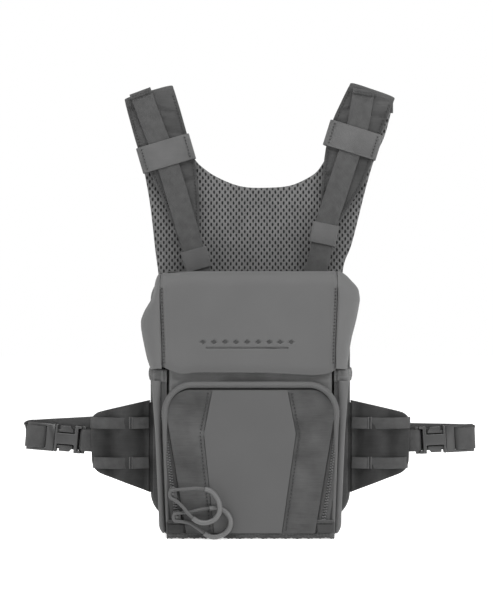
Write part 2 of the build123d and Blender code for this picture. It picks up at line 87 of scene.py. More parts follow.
def finishColour(tree, shader, dark, light, factor, height, strength, distance, holes=None):
    # colour between two shades by factor, and bump from height; holes are painted shade, a third
    # shade for the dark seen through them, and how solid the surface is, from 0 in a hole to 1
    colour = addNode(tree, "ValToRGB", [factor])
    colour.color_ramp.elements[0].color = linearColour(dark)
    colour.color_ramp.elements[1].color = linearColour(light)
    output = colour.outputs["Color"]
    if holes:
        shade, solid = holes
        mix = addNode(tree, "Mix", {0: solid, 6: linearColour(shade), 7: output}, data_type="RGBA")
        output = mix.outputs[2]
    tree.links.new(output, shader.inputs["Base Color"])
    bump = addNode(tree, "Bump",
                   {"Height": height, "Strength": strength, "Distance": distance * mm})
    tree.links.new(bump.outputs["Normal"], shader.inputs["Normal"])


def objectAxes(tree):
    # object coordinates in metres: the place, and its X, Y and Z
    place = addNode(tree, "TexCoord").outputs["Object"]
    axes = addNode(tree, "SeparateXYZ", [place])
    return place, axes.outputs["X"], axes.outputs["Y"], axes.outputs["Z"]


def crossedWaves(tree, across, along, turn):
    # threads that pass over and under: the product of two sines, from 0 to 1
    waves = []
    for axis in (across, along):
        angle = addNode(tree, "Math", [axis, turn], operation="MULTIPLY")
        waves.append(addNode(tree, "Math", [angle], operation="SINE"))
    crossed = addNode(tree, "Math", waves, operation="MULTIPLY")
    return addNode(tree, "Math", [crossed, 0.5, 0.5], operation="MULTIPLY_ADD")


def wovenCloth(name, dark, light, pitch, slub, roughness=0.88, sheen=0.07, bump=0.6):
    # woven nylon: matt, with a plain weave and slubs, thicker threads that run across; threads
    # about 0.5 mm apart are drawn pitch millimetres apart, 0.9 on most cloths, so that they show
    material, tree, shader = startMaterial(name, roughness, sheen)
    place, x, y, z = objectAxes(tree)
    around = addNode(tree, "Math", [x, y], operation="ADD")
    weave = crossedWaves(tree, around, z, 2 * np.pi / (pitch * mm))
    stretched = addNode(tree, "Mapping", {"Vector": place, "Scale": (60, 60, 900)})
    slubs = addNode(tree, "TexNoise", {"Vector": stretched, "Scale": 1.0, "Detail": 4.0,
                                       "Roughness": 0.6})
    cloud = addNode(tree, "TexNoise", {"Vector": place, "Scale": 38.0, "Detail": 3.0})
    tone = addNode(tree, "Math", [cloud, 1.3, -0.45], operation="MULTIPLY_ADD")
    tone = addNode(tree, "Math", [slubs, slub, tone], operation="MULTIPLY_ADD")
    tone = addNode(tree, "Math", [weave, 0.22, tone], operation="MULTIPLY_ADD")
    height = addNode(tree, "Math", [slubs, 0.7, weave], operation="MULTIPLY_ADD")
    finishColour(tree, shader, dark, light, tone, height, bump, 0.35)
    return material


def smoothCloth(name, dark, light, roughness=0.78, sheen=0.06):
    # brushed softshell knit: smooth and matt, with a faint fine grain and soft tone changes
    material, tree, shader = startMaterial(name, roughness, sheen)
    place = objectAxes(tree)[0]
    grain = addNode(tree, "TexNoise", {"Vector": place, "Scale": 2600.0, "Detail": 2.0})
    cloud = addNode(tree, "TexNoise", {"Vector": place, "Scale": 24.0, "Detail": 2.0})
    tone = addNode(tree, "Math", [cloud, 0.6], operation="MULTIPLY")
    tone = addNode(tree, "Math", [grain, 0.35, tone], operation="MULTIPLY_ADD")
    finishColour(tree, shader, dark, light, tone, grain, 0.25, 0.12)
    return material


def ribbedWebbing(name, dark, light, rib=1.25, pick=1.1, roughness=0.8):
    # nylon webbing: low satin ribs along its length, crossed by picks, about as wide as real
    # ones; both follow the strap's own UV, in millimetres
    material, tree, shader = startMaterial(name, roughness, 0.05)
    uv = addNode(tree, "TexCoord").outputs["UV"]
    axes = addNode(tree, "SeparateXYZ", [uv])
    along = addNode(tree, "Math", [axes.outputs["X"], 2 * np.pi / pick], operation="MULTIPLY")
    across = addNode(tree, "Math", [axes.outputs["Y"], 2 * np.pi / rib], operation="MULTIPLY")
    lean = addNode(tree, "Math", [across], operation="SINE")
    shifted = addNode(tree, "Math", [lean, 1.2, along], operation="MULTIPLY_ADD")
    picks = addNode(tree, "Math", [shifted], operation="SINE")
    picks = addNode(tree, "Math", [picks, 0.5, 0.5], operation="MULTIPLY_ADD")
    ribs = addNode(tree, "Math", [across], operation="COSINE")
    ribs = addNode(tree, "Math", [ribs, 0.5, 0.5], operation="MULTIPLY_ADD")
    place = objectAxes(tree)[0]
    cloud = addNode(tree, "TexNoise", {"Vector": place, "Scale": 160.0, "Detail": 3.0})
    tone = addNode(tree, "Math", [picks, 0.25], operation="MULTIPLY")
    tone = addNode(tree, "Math", [cloud, 0.55, tone], operation="MULTIPLY_ADD")
    height = addNode(tree, "Math", [picks, 0.6, ribs], operation="MULTIPLY_ADD")
    finishColour(tree, shader, dark, light, tone, height, 0.5, 0.25)
    return material


def spacerMesh(name, paintedHoleShade, dark, light, pitchX=5.15, pitchZ=6.62, halfX=1.02, halfZ=1.9):
    # warp-knit spacer mesh: two staggered sets of tall lens-shaped holes in a fuzzy knit, at
    # their real size; the knit's own fine loops are left to noise
    material, tree, shader = startMaterial(name, 0.9, 0.05)
    place, x, y, z = objectAxes(tree)
    lenses = []
    for share in (0, 0.5):
        # distance from the nearest hole's middle, in units of its half width and half height
        squares = []
        for axis, pitch, half in ((x, pitchX, halfX), (z, pitchZ, halfZ)):
            moved = addNode(tree, "Math", [axis, share * pitch * mm], operation="ADD")
            wrapped = addNode(tree, "Math", [moved, pitch / 2 * mm, -pitch / 2 * mm],
                              operation="WRAP")
            part = addNode(tree, "Math", [wrapped, half * mm], operation="DIVIDE")
            squares.append(addNode(tree, "Math", [part, part], operation="MULTIPLY"))
        lenses.append(addNode(tree, "Math", squares, operation="ADD"))
    near = addNode(tree, "Math", lenses, operation="MINIMUM")
    fuzz = addNode(tree, "TexNoise", {"Vector": place, "Scale": 900.0, "Detail": 3.0})
    patch = addNode(tree, "TexNoise", {"Vector": place, "Scale": 70.0, "Detail": 2.0})
    edge = addNode(tree, "Math", [near, 0.35], operation="SUBTRACT")
    edge = addNode(tree, "Math", [fuzz, 0.9, edge], operation="MULTIPLY_ADD")
    solid = addNode(tree, "MapRange", {"Value": edge, "From Min": 0.7, "From Max": 1.1},
                    interpolation_type="SMOOTHSTEP")
    tone = addNode(tree, "Math", [patch, 0.35], operation="MULTIPLY")
    tone = addNode(tree, "Math", [fuzz, 0.55, tone], operation="MULTIPLY_ADD")
    height = addNode(tree, "Math", [fuzz, 0.3, solid], operation="MULTIPLY_ADD")
    # the holes are not cut: their near-black colour is painted shade, for the dark seen through the
    # mesh
    finishColour(tree, shader, dark, light, tone, height, 0.9, 1.2, (paintedHoleShade, solid))
    return material


def mouldedPlastic(name, dark, light, roughness=0.42, grain=1400.0):
    # injection-moulded acetal: satin, with a fine spark-eroded grain
    material, tree, shader = startMaterial(name, roughness)
    place = objectAxes(tree)[0]
    spark = addNode(tree, "TexNoise", {"Vector": place, "Scale": grain, "Detail": 2.0})
    cloud = addNode(tree, "TexNoise", {"Vector": place, "Scale": 90.0})
    finishColour(tree, shader, dark, light, cloud, spark, 0.18, 0.06)
    return material


def braidedCord(name, dark, light, strand=1.3):
    # braided nylon sheath: strands cross on the cord's own UV, strand millimetres apart
    material, tree, shader = startMaterial(name, 0.78, 0.05)
    uv = addNode(tree, "TexCoord").outputs["UV"]
    axes = addNode(tree, "SeparateXYZ", [uv])
    slants = [addNode(tree, "Math", [axes.outputs["X"], axes.outputs["Y"]], operation=way)
              for way in ("ADD", "SUBTRACT")]
    braid = crossedWaves(tree, *slants, 2 * np.pi / strand)
    finishColour(tree, shader, dark, light, braid, braid, 0.5, 0.25)
    return material


softshell = smoothCloth("softshellCloth", "#3a3a3a", "#454545")
# a lighter copy of the lid softshell for its side gussets: painted light on the sides
paintedLightSideShell = smoothCloth("softshellPaintedLightSide", "#3f3f3f", "#4a4a4a")
# film for the debossed marks: glossier, and darker as painted shade in the recess
glossFilmPaintedShade = smoothCloth("glossFilmPaintedShade", "#252525", "#2e2e2e", roughness=0.5)
coatedCloth = smoothCloth("coatedStretchCloth", "#333333", "#3c3c3c", roughness=0.66)
stretchKnit = smoothCloth("stretchKnit", "#3b3b3b", "#4b4b4b")
packCloth = wovenCloth("wovenNylonCloth", "#121212", "#3f3f3f", 0.9, 0.5)
padCloth = wovenCloth("quiltedNylonCloth", "#0f0f0f", "#383838", 0.9, 0.5)
# the band under the lid is the shell's own nylon in a lighter copy: painted light against the lid's
# shade
paintedLightBandCloth = wovenCloth("bandNylonPaintedLight", "#303030", "#5b5b5b", 0.9, 0.5)
wingCloth = wovenCloth("wingNylonCloth", "#090909", "#2f2f2f", 0.9, 0.5)
liningCloth = wovenCloth("liningTaffeta", "#272727", "#393939", 0.5, 0.2, roughness=0.6)
gatheredElastic = wovenCloth("gatheredElastic", "#191919", "#616161", 1.6, 0.6, bump=0.8)
keeperElastic = wovenCloth("keeperElastic", "#393939", "#4d4d4d", 0.8, 0.3)
webbing = ribbedWebbing("nylonWebbing", "#191919", "#444444")
rowWebbing = ribbedWebbing("wingRowWebbing", "#1f1f1f", "#484848")
zipTape = wovenCloth("zipperTape", "#232323", "#414141", 0.7, 0.25)
coilNylon = mouldedPlastic("nylonCoil", "#2a2a2a", "#484848", 0.5)
bindingTape = wovenCloth("bindingTape", "#111111", "#3b3b3b", 1.0, 0.5)
# the first colour is the holes' painted shade
yokeMesh = spacerMesh("spacerMesh", "#010101", "#2d2d2d", "#6b6b6b")
buckleAcetal = mouldedPlastic("buckleAcetal", "#1c1c1c", "#2c2c2c")
gripPolymer = mouldedPlastic("gripPolymer", "#3d3d3d", "#474747", 0.5)
sliderMetal = mouldedPlastic("paintedZincSlider", "#2b2b2b", "#373737", 0.38)
pullCord = braidedCord("pullCord", "#2d2d2d", "#4a4a4a")
# sewing thread; its dark colour also paints the shadow lines along the front pocket's seams
thread = braidedCord("sewingThreadAndSeamShade", "#0c0c0c", "#1c1c1c", 0.6)
paleThread = braidedCord("paleThread", "#3f3f3f", "#545454", 0.6)
print("materials made")


# Mesh makers

def showObject(name, data):
    # a new object, linked into the scene
    piece = bpy.data.objects.new(name, data)
    bpy.context.scene.collection.objects.link(piece)
    return piece


def dressMesh(mesh, material):
    # smooth shading and one material
    mesh.polygons.foreach_set("use_smooth", np.ones(len(mesh.polygons), bool))
    mesh.materials.append(material)


def finishPiece(name, points, faces, corners, material, fans=None):
    # points are in millimetres; corners hold the UV of each quad's corners, also in millimetres;
    # fans are the triangles that close a sweep's ends
    fans = [] if fans is None else fans.tolist()
    mesh = bpy.data.meshes.new(name)
    mesh.from_pydata((points * mm).tolist(), [], faces.tolist() + fans)
    uv = np.concatenate([corners.reshape(-1, 2), np.zeros((3 * len(fans), 2))])
    layer = mesh.uv_layers.new(name="UVMap")
    layer.data.foreach_set("uv", uv.ravel().astype(np.float32))
    work = bmesh.new()
    work.from_mesh(mesh)
    if not fans:
        bmesh.ops.remove_doubles(work, verts=work.verts, dist=0.004 * mm)
        bmesh.ops.dissolve_degenerate(work, edges=work.edges, dist=0.003 * mm)
    bmesh.ops.recalc_face_normals(work, faces=work.faces)
    work.to_mesh(mesh)
    work.free()
    dressMesh(mesh, material)
    return showObject(name, mesh)


def gridFaces(rows, cols, closeRows=False, closeCols=False, start=0):
    # quads of a grid of points, and the row and column of each quad's corners
    i, j = np.meshgrid(np.arange(rows - (not closeRows)), np.arange(cols - (not closeCols)),
                       indexing="ij")
    i, j = i.ravel(), j.ravel()
    nextI, nextJ = (i + 1) % rows, (j + 1) % cols
    faces = np.stack([i * cols + j, nextI * cols + j, nextI * cols + nextJ, i * cols + nextJ], 1)
    corners = np.stack([np.stack([i, j], 1), np.stack([i + 1, j], 1), np.stack([i + 1, j + 1], 1),
                        np.stack([i, j + 1], 1)], 1)
    return faces + start, corners


def shellPiece(name, front, back, material):
    # a closed piece between two grids of points that share their rows and columns
    rows, cols = front.shape[:2]
    points = np.concatenate([front.reshape(-1, 3), back.reshape(-1, 3)])
    one, oneCorners = gridFaces(rows, cols)
    two, twoCorners = gridFaces(rows, cols, start=rows * cols)
    index = np.arange(rows * cols).reshape(rows, cols)
    rims = [index[0], index[-1][::-1], index[:, 0][::-1], index[:, -1]]
    rimFaces = np.concatenate([
        np.stack([rim[:-1], rim[1:], rim[1:] + rows * cols, rim[:-1] + rows * cols], 1)
        for rim in rims])
    step = np.linalg.norm(np.diff(front, axis=0), axis=-1).mean()
    stride = np.linalg.norm(np.diff(front, axis=1), axis=-1).mean()
    corners = np.concatenate([oneCorners, twoCorners[:, ::-1]]) * (step, stride)
    corners = np.concatenate([corners, np.zeros((len(rimFaces), 4, 2))])
    return finishPiece(name, points, np.concatenate([one, two[:, ::-1], rimFaces]), corners,
                       material)


def edgeRound(t, power):
    # 1 in the middle and 0 at both ends of t from 0 to 1, flat-topped as the power grows
    return (1 - np.abs(2 * t - 1) ** power) ** (1 / power)


def eased(count):
    # steps from 0 to 1, closer together at both ends
    return (1 - np.cos(np.linspace(0, np.pi, count))) / 2


def wrinkles(x, z, size, amount, seed=0.0):
    # smooth waves in a few directions, about size millimetres apart
    total = np.zeros(np.broadcast(x, z).shape)
    for turn in range(1, 6):
        angle = seed + 2.4 * turn
        wave = (x * np.cos(angle) + z * np.sin(angle)) * 2 * np.pi / (size * (0.6 + 0.23 * turn))
        total = total + np.sin(wave + seed * 5 * turn) / 5
    return amount * total


def padPiece(name, low, high, depth, half, material, power=8, endPower=None, columns=60,
             crease=None):
    # a pad between two edge curves in X and Z: both faces bow from its middle depth and meet at
    # its edges; crease adds to the front face's depth
    u = eased(columns)
    v = np.linspace(0, 1, len(low))
    flat = low[:, None] + (high - low)[:, None] * u[None, :, None]
    swell = edgeRound(u, power)[None] * edgeRound(v, endPower or power)[:, None]
    extra = 0 if crease is None else crease(flat[..., 0], flat[..., 1]) * swell
    front = np.stack([flat[..., 0], depth - half * swell + extra, flat[..., 1]], -1)
    back = np.stack([flat[..., 0], depth + half * swell, flat[..., 1]], -1)
    return shellPiece(name, front, back, material)


def alongCurve(points, count, smooth=True):
    # evenly spaced points on a curve through the given ones, smoothed by a Catmull-Rom spline
    points = np.array(points, float)
    if smooth and len(points) > 2:
        ends = np.concatenate([[2 * points[0] - points[1]], points, [2 * points[-1] - points[-2]]])
        t = np.linspace(0, 1, 12, endpoint=False)[:, None]
        a, b, c, d = (ends[k : len(ends) - 3 + k, None] for k in range(4))
        fine = 0.5 * (2 * b + (c - a) * t + (2 * a - 5 * b + 4 * c - d) * t**2
                      + (3 * b - a - 3 * c + d) * t**3)
        points = np.concatenate([fine.reshape(-1, points.shape[1]), points[-1:]])
    reach = np.concatenate([[0], np.cumsum(np.linalg.norm(np.diff(points, axis=0), axis=1))])
    even = np.linspace(0, reach[-1], count)
    return np.stack([np.interp(even, reach, points[:, k]) for k in range(points.shape[1])], 1)


def roundedBox(wide, thick, radius, count=5):
    # outline of a rounded rectangle, as profile points about its middle
    turn = np.linspace(0, np.pi / 2, count)
    corner = radius * np.stack([np.cos(turn), np.sin(turn)], 1)
    parts = []
    for quarter, (sx, sy) in enumerate(((1, 1), (-1, 1), (-1, -1), (1, -1))):
        c, s = np.cos(quarter * np.pi / 2), np.sin(quarter * np.pi / 2)
        turned = corner @ np.array([[c, s], [-s, c]])
        parts.append(turned + (sx * (wide / 2 - radius), sy * (thick / 2 - radius)))
    return np.concatenate(parts)


def sweepPiece(name, path, across, profile, material, closed=False):
    # a profile carried along a path; across is the direction of its first axis at each point
    tangent = np.roll(path, -1, 0) - np.roll(path, 1, 0) if closed else np.gradient(path, axis=0)
    tangent /= np.linalg.norm(tangent, axis=1)[:, None]
    across = np.broadcast_to(across, path.shape).astype(float)
    across = across - (across * tangent).sum(1)[:, None] * tangent
    across = across / np.linalg.norm(across, axis=1)[:, None]
    normal = np.cross(tangent, across)
    shape = profile if profile.ndim == 3 else np.broadcast_to(profile, (len(path), *profile.shape))
    grid = (path[:, None] + shape[..., :1] * across[:, None] + shape[..., 1:] * normal[:, None])
    rows, cols = grid.shape[:2]
    faces, corners = gridFaces(rows, cols, closed, True)
    lengths = np.linalg.norm(np.diff(path, axis=0), axis=1)
    reach = np.concatenate([[0], np.cumsum(lengths), [lengths.sum() + lengths.mean()]])
    girth = np.concatenate([[0], np.cumsum(np.linalg.norm(np.diff(shape[0], axis=0), axis=1))])
    girth = np.append(girth, girth[-1] + np.linalg.norm(shape[0, -1] - shape[0, 0]))
    uv = np.stack([reach[corners[..., 0]], girth[corners[..., 1]]], -1)
    points = grid.reshape(-1, 3)
    if closed:
        return finishPiece(name, points, faces, uv, material)
    # each end is closed by a fan to its middle
    points = np.concatenate([points, grid[0].mean(0)[None], grid[-1].mean(0)[None]])
    ring = np.arange(cols)
    fans = [np.stack([row * cols + ring, row * cols + (ring + 1) % cols, np.full(cols, centre)], 1)
            for row, centre in ((0, rows * cols), (rows - 1, rows * cols + 1))]
    return finishPiece(name, points, faces, uv, material, np.concatenate(fans))


def circleProfile(diameter, count=16, flat=1.0):
    # points round a circle, or round an ellipse that is flat times as high as it is wide
    turn = np.linspace(0, 2 * np.pi, count, endpoint=False)
    return diameter / 2 * np.stack([np.cos(turn), flat * np.sin(turn)], 1)


def tubeAcross(path):
    # a steady direction across a curved path: its tangent crossed with a fixed axis
    tangent = np.gradient(path, axis=0)
    steady = np.cross(tangent, (0.0, 1.0, 0.0))
    return steady / np.maximum(np.linalg.norm(steady, axis=1), 1e-9)[:, None]


def stitchRow(name, path, pitch, long, radius, material, lift=0.3):
    # a row of stitches: short round-ended threads, long millimetres each, one per pitch, and
    # thicker than real thread so that they show
    path = np.array(path, float)
    length = np.linalg.norm(np.diff(path, axis=0), axis=1).sum()
    count = max(2, int(length / pitch))
    fine = alongCurve(path, count * 2 + 1, smooth=False)
    centre, ahead = fine[1::2], fine[2::2] - fine[:-1:2]
    ahead /= np.linalg.norm(ahead, axis=1)[:, None]
    out = np.array([0.0, -1.0, 0.0])
    side = np.cross(ahead, out)
    side /= np.maximum(np.linalg.norm(side, axis=1), 1e-9)[:, None]
    up = np.cross(side, ahead)
    t = np.linspace(0, 1, 5)
    bulge = np.sqrt(np.clip(1 - (2 * t - 1) ** 2, 0.02, 1))
    turn = np.linspace(0, 2 * np.pi, 6, endpoint=False)
    grid = (centre[:, None, None]
            + (t[None, :, None, None] - 0.5) * long * ahead[:, None, None]
            + radius * bulge[None, :, None, None]
            * (np.cos(turn)[None, None, :, None] * side[:, None, None]
               + np.sin(turn)[None, None, :, None] * up[:, None, None]))
    grid = grid + lift * out
    faces, corners = gridFaces(5, 6, False, True)
    ends = np.array([[0, 1, 2, 3], [0, 3, 4, 5], [24, 27, 26, 25], [24, 29, 28, 27]])
    block = np.concatenate([faces, ends])
    every = (block[None] + (np.arange(len(centre)) * 30)[:, None, None]).reshape(-1, 4)
    uv = np.zeros((len(every), 4, 2))
    return finishPiece(name, grid.reshape(-1, 3), every, uv, material)


def place(piece, body, slot, *nodes):
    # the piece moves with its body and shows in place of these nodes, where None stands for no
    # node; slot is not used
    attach(piece, body)
    shown = [node for node in nodes if node]
    if shown:
        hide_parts(*shown)
    return piece


def softened(node, name, width, material, body, slot, segments=3):
    # a moulded piece from its CAD node, with its edges rounded
    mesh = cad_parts[node].data.copy()
    mesh.name = name
    work = bmesh.new()
    work.from_mesh(mesh)
    bmesh.ops.remove_doubles(work, verts=work.verts, dist=0.002 * mm)
    bmesh.ops.dissolve_limit(work, angle_limit=0.02, verts=work.verts, edges=work.edges)
    work.to_mesh(mesh)
    work.free()
    mesh.materials.clear()
    dressMesh(mesh, material)
    piece = showObject(name, mesh)
    bevel = piece.modifiers.new("edges", "BEVEL")
    bevel.width = width * mm
    bevel.segments = segments
    bevel.limit_method = "ANGLE"
    bevel.harden_normals = True
    return place(piece, body, slot, node)


# Lid: a middle panel that folds over the top, and a bulging gusset on each side
lid = {
    "front": -49.0, "seamDepth": -46.8, "back": 36.6, "shoulder": 219.6, "round": 13.5,
       "crown": 1.2,
    "thick": 2.6, "seamLeft": 79.2, "seamRight": 76.0, "seamTaper": 1.8, "leftDrop": 2.2,
    "edgeX": [-78, -73, -67, -59.5, -47, 14, 38, 56, 68.5, 73, 77],
    "edgeZ": [150.4, 147.8, 145.0, 143.2, 144.9, 144.6, 143.2, 142.2, 143.8, 146.3, 149.0],
    "gussetLow": 147.0, "gussetRound": 24.0, "gussetTopRound": 15.0,
    "heights": [137.4, 147.4, 156.4, 168.4, 176.4, 183.4, 190.4, 198.4, 208.4, 217.4, 225.4,
                237.4],
    "leftHalf": [87.0, 88.3, 91.3, 93.9, 95.6, 96.8, 97.0, 93.8, 87.4, 84.6, 84.4, 84.4],
    "rightHalf": [84.6, 85.2, 86.5, 88.3, 89.6, 91.4, 93.2, 95.0, 96.8, 95.2, 89.5, 86.0],
    "underline": (-3.1, 166.2, 72.6, 1.5), "lozenges": 9, "lozengePitch": 9.6,
       "lozengeHeight": 171.4,
    "lozengeWide": 3.6, "lozengeHigh": 2.6, "deboss": 1.3,
}


def smoothed(z, heights, values):
    # values between the listed heights, smoothed by a running Gaussian mean
    fine = np.linspace(140, 240, 201)
    raw = np.interp(fine, heights, values)
    kernel = np.exp(-np.linspace(-2, 2, 19) ** 2)
    padded = np.concatenate([np.full(9, raw[0]), raw, np.full(9, raw[-1])])
    return np.interp(z, fine, np.convolve(padded, kernel / kernel.sum(), "valid"))


def seamAt(z, side):
    # half width of the middle panel at each height
    wide = lid["seamLeft"] if side < 0 else lid["seamRight"]
    return wide - lid["seamTaper"] * np.clip((212 - z) / 47, 0, 1)


def lidTop(x, y):
    # height of the lid's top: round over the front edge, then rising a little to the back
    inFromEdge = np.clip(y - lid["seamDepth"], 0, None)
    r = lid["round"]
    fall = r - np.sqrt(np.clip(r**2 - np.clip(r - inFromEdge, 0, r) ** 2, 0, None))
    rise = lid["crown"] * np.clip(inFromEdge / 83, 0, 1)
    drop = lid["leftDrop"] * np.clip((-x - 40) / 38, 0, 1) ** 2
    return lid["shoulder"] + r - fall + rise - drop


def insetGrid(grid, distance, inside):
    # the same grid moved along its normals, away from the outside and towards a point inside
    across = np.cross(np.gradient(grid, axis=0), np.gradient(grid, axis=1))
    normal = across / np.maximum(np.linalg.norm(across, axis=-1), 1e-9)[..., None]
    outward = normal * np.sign(((grid - np.array(inside)) * normal).sum(-1).mean())
    return grid - distance * outward


def middlePanelGrid():
    # columns run across, rows run up the front, round the top edge and back over the top
    across = np.linspace(-1, 1, 241)[None]
    wallT, arcT, topT = np.linspace(0, 1, 106), np.linspace(0, 1, 15)[1:], np.linspace(0, 1,
                                                                                       26)[1:]
    x0 = np.where(across < 0, across * seamAt(180, -1), across * seamAt(180, 1))
    low = np.interp(x0, lid["edgeX"], lid["edgeZ"])
    low = np.apply_along_axis(lambda row: np.convolve(np.pad(row, 4, "edge"), np.ones(9) / 9,
                                                      "valid"), 1, low)
    z = low + (lid["shoulder"] - low) * wallT[:, None]
    bow = 1 - across**2
    wallY = lid["seamDepth"] + (lid["front"]
                                - lid["seamDepth"]) * bow + 1.3 * np.exp(-((z - low) / 5) ** 2)
    angle = arcT[:, None] * np.pi / 2
    arcY = wallY[-1:] + lid["round"] * (1 - np.cos(angle))
    arcZ = lid["shoulder"] + lid["round"] * np.sin(angle) + 0 * across
    topY = arcY[-1:] + (lid["back"] - arcY[-1:]) * topT[:, None]
    topZ = arcZ[-1:] + lid["crown"] * topT[:, None] + 0 * across
    y, z = np.concatenate([wallY, arcY, topY]), np.concatenate([z, arcZ, topZ])
    x = np.where(across < 0, across * seamAt(z, -1), across * seamAt(z, 1))
    z = z - lid["leftDrop"] * np.clip((-x - 40) / 38, 0, 1) ** 2 * np.clip((z - 205) / 20, 0, 1)
    # the turned edge dips into the seam, with a low welt beside it
    away = np.where(across < 0, seamAt(z, -1), seamAt(z, 1)) - np.abs(x)
    sink = 1.5 * np.exp(-(away / 0.9) ** 2) - 0.5 * np.exp(-((away - 3.2) / 1.3) ** 2)
    sink += 0.55 * np.exp(-((away - 2.0) / 0.5) ** 2)
    wall = np.clip((lid["shoulder"] + 4 - z) / 8, 0, 1)
    y = y + sink * wall
    z = z - sink * (1 - wall)
    # plain debossed marks: an underline and a row of lozenges
    middle, height, long, high = lid["underline"]
    mark = (np.clip((long / 2 - np.abs(x - middle)) / 0.9, 0, 1)
            * np.clip((high / 2 + 0.35 - np.abs(z - height)) / 0.7, 0, 1))
    count = (lid["lozenges"] - 1) / 2
    nearest = np.clip(np.round((x - middle) / lid["lozengePitch"]), -count,
                      count) * lid["lozengePitch"]
    spread = np.abs(x - middle - nearest) / lid["lozengeWide"]
    spread = spread + np.abs(z - lid["lozengeHeight"]) / lid["lozengeHigh"]
    mark = np.maximum(mark, np.clip((1 - spread) / 0.35, 0, 1))
    y = y + lid["deboss"] * mark + wrinkles(x, z, 60, 0.3, 0.7) * wall
    return np.stack([x, y, z], -1)


def quarterArc(share):
    # the rise of a quarter circle, from 0 to 1
    return np.sqrt(np.clip(1 - (1 - np.clip(share, 0, 1)) ** 2, 0, 1))


def gussetGrid(side):
    # a field over depth and height: it stands out from the seam by the listed half widths, and
    # rounds down to the seam at the front and over the top
    t, w = np.linspace(0, 1, 80)[:, None], np.linspace(0, 1, 100)[None]
    y = lid["seamDepth"] + (lid["back"] - lid["seamDepth"]) * t**1.7
    top = lidTop(np.full_like(y, side * 79.0), y)
    low = lid["gussetLow"] + 1.0 * np.exp(-(y - lid["seamDepth"]) / 9) + 0 * w
    z = top + (low - top) * w**1.35
    half = smoothed(z, lid["heights"], lid["leftHalf" if side < 0 else "rightHalf"])
    seam = seamAt(z, side)
    bulge = quarterArc((y - lid["seamDepth"]) / lid["gussetRound"]) ** 0.8
    bulge = bulge * quarterArc((top - z) / lid["gussetTopRound"])
    flat = 1 - 0.25 * np.clip((y - 14) / 22, 0, 1) ** 2
    fold = wrinkles(y, z * 0.6, 26, 0.9, 1.9 + side) * bulge
    x = seam + (half - seam) * bulge * flat + fold
    return np.stack([side * x, y + 0 * z, z], -1)


middleGrid = middlePanelGrid()
lidMiddle = shellPiece("lidMiddle", middleGrid, insetGrid(middleGrid, lid["thick"], (0, 0, 180)),
                       softshell)
place(lidMiddle, "lid", "lid_cloth", "lid_shell")


def filmPiece(name, x, z):
    # a glossier film on the floor of a debossed mark: the gloss is the pressed cloth's own, its
    # darker colour is painted shade in the recess
    bow = 1 - (x / 76) ** 2
    y = lid["seamDepth"] + (lid["front"] - lid["seamDepth"]) * bow + lid["deboss"] - 0.25
    film = np.stack(np.broadcast_arrays(x, y + wrinkles(x, z, 60, 0.3, 0.7), z), -1)
    place(shellPiece(name, film, film + (0, 0.3, 0), glossFilmPaintedShade), "lid", "lid_cloth")


middle, height, long, high = lid["underline"]
filmPiece("lidMark", np.linspace(-0.5, 0.5, 40)[:, None] * (long - 1.4) + middle,
          np.linspace(-0.5, 0.5, 4)[None] * high + height)
u, v = np.meshgrid(np.linspace(-1, 1, 7), np.linspace(-1, 1, 7), indexing="ij")
for k in range(lid["lozenges"]):
    x = middle + (k - (lid["lozenges"] - 1) / 2) * lid["lozengePitch"]
    filmPiece(f"lidLozenge{k}", x + (u + v) / 2 * (lid["lozengeWide"] - 1.0),
              lid["lozengeHeight"] + (u - v) / 2 * (lid["lozengeHigh"] - 0.8))
for side, name in ((-1, "Left"), (1, "Right")):
    grid = gussetGrid(side)
    # the gussets take the lighter copy of the softshell, which is painted light
    lidSide = shellPiece(f"lidGusset{name}", grid, insetGrid(grid, 2.0, (0, 0, 180)), paintedLightSideShell)
    place(lidSide, "lid", "lid_cloth")
seamZ = np.linspace(152, 219, 40)
for side, name in ((-1, "Left"), (1, "Right")):
    path = np.stack([side * (seamAt(seamZ, side) - 2.0),
                     np.full_like(seamZ, lid["seamDepth"] - 0.5), seamZ], 1)
    place(stitchRow(f"lidStitches{name}", path, 2.9, 1.6, 0.8, thread, 0.5), "lid", "lid_cloth")
# no cover is modelled over the magnets, so they take the finish of the cloth round them
for node, body in (("lid_magnets", "lid"), ("shell_magnets", "pack")):
    softened(node, node.replace("_m", "M"), 0.3, padCloth, body, "pack_cloth", 2)
print("lid made")

# Compartment with its lining
room = {"front": -38.0, "back": 44.0, "frontHalf": 72.0, "backHalf": 79.0, "corner": 6.0,
        "high": 224.0, "wall": 3.6, "floor": 5.2}


def roomPlan(count=240):
    # the compartment's plan, a rounded trapezoid, as a closed loop of points
    corners = np.array([(-room["frontHalf"], room["front"]), (room["frontHalf"], room["front"]),
                        (room["backHalf"], room["back"]), (-room["backHalf"], room["back"])])
    parts = []
    for k in range(4):
        here, before, after = corners[k], corners[k - 1], corners[(k + 1) % 4]
        a = here + (before - here) / np.linalg.norm(before - here) * room["corner"]
        b = here + (after - here) / np.linalg.norm(after - here) * room["corner"]
        t = np.linspace(0, 1, 8)[:, None]
        parts.append((1 - t) ** 2 * a + 2 * t * (1 - t) * here + t**2 * b)
    loop = np.concatenate(parts + [parts[0][:1]])
    return alongCurve(loop, count + 1, smooth=False)[:-1]


def bagPiece(name, plan, profile, material, centre=(0.0, 3.0)):
    # a closed plan carried through a profile of (share of the way in, inset, height)
    centre = np.array(centre)
    tangent = np.roll(plan, -1, 0) - np.roll(plan, 1, 0)
    normal = np.stack([tangent[:, 1], -tangent[:, 0]], 1) / np.linalg.norm(tangent,
                                                                           axis=1)[:, None]
    rows = []
    for share, inset, height in profile:
        flat = centre + (plan - inset * normal - centre) * (1 - share)
        rows.append(np.column_stack([flat, np.full(len(plan), height)]))
    grid = np.array(rows)
    faces, corners = gridFaces(len(profile), len(plan), False, True)
    return finishPiece(name, grid.reshape(-1, 3), faces, corners.astype(float), material)


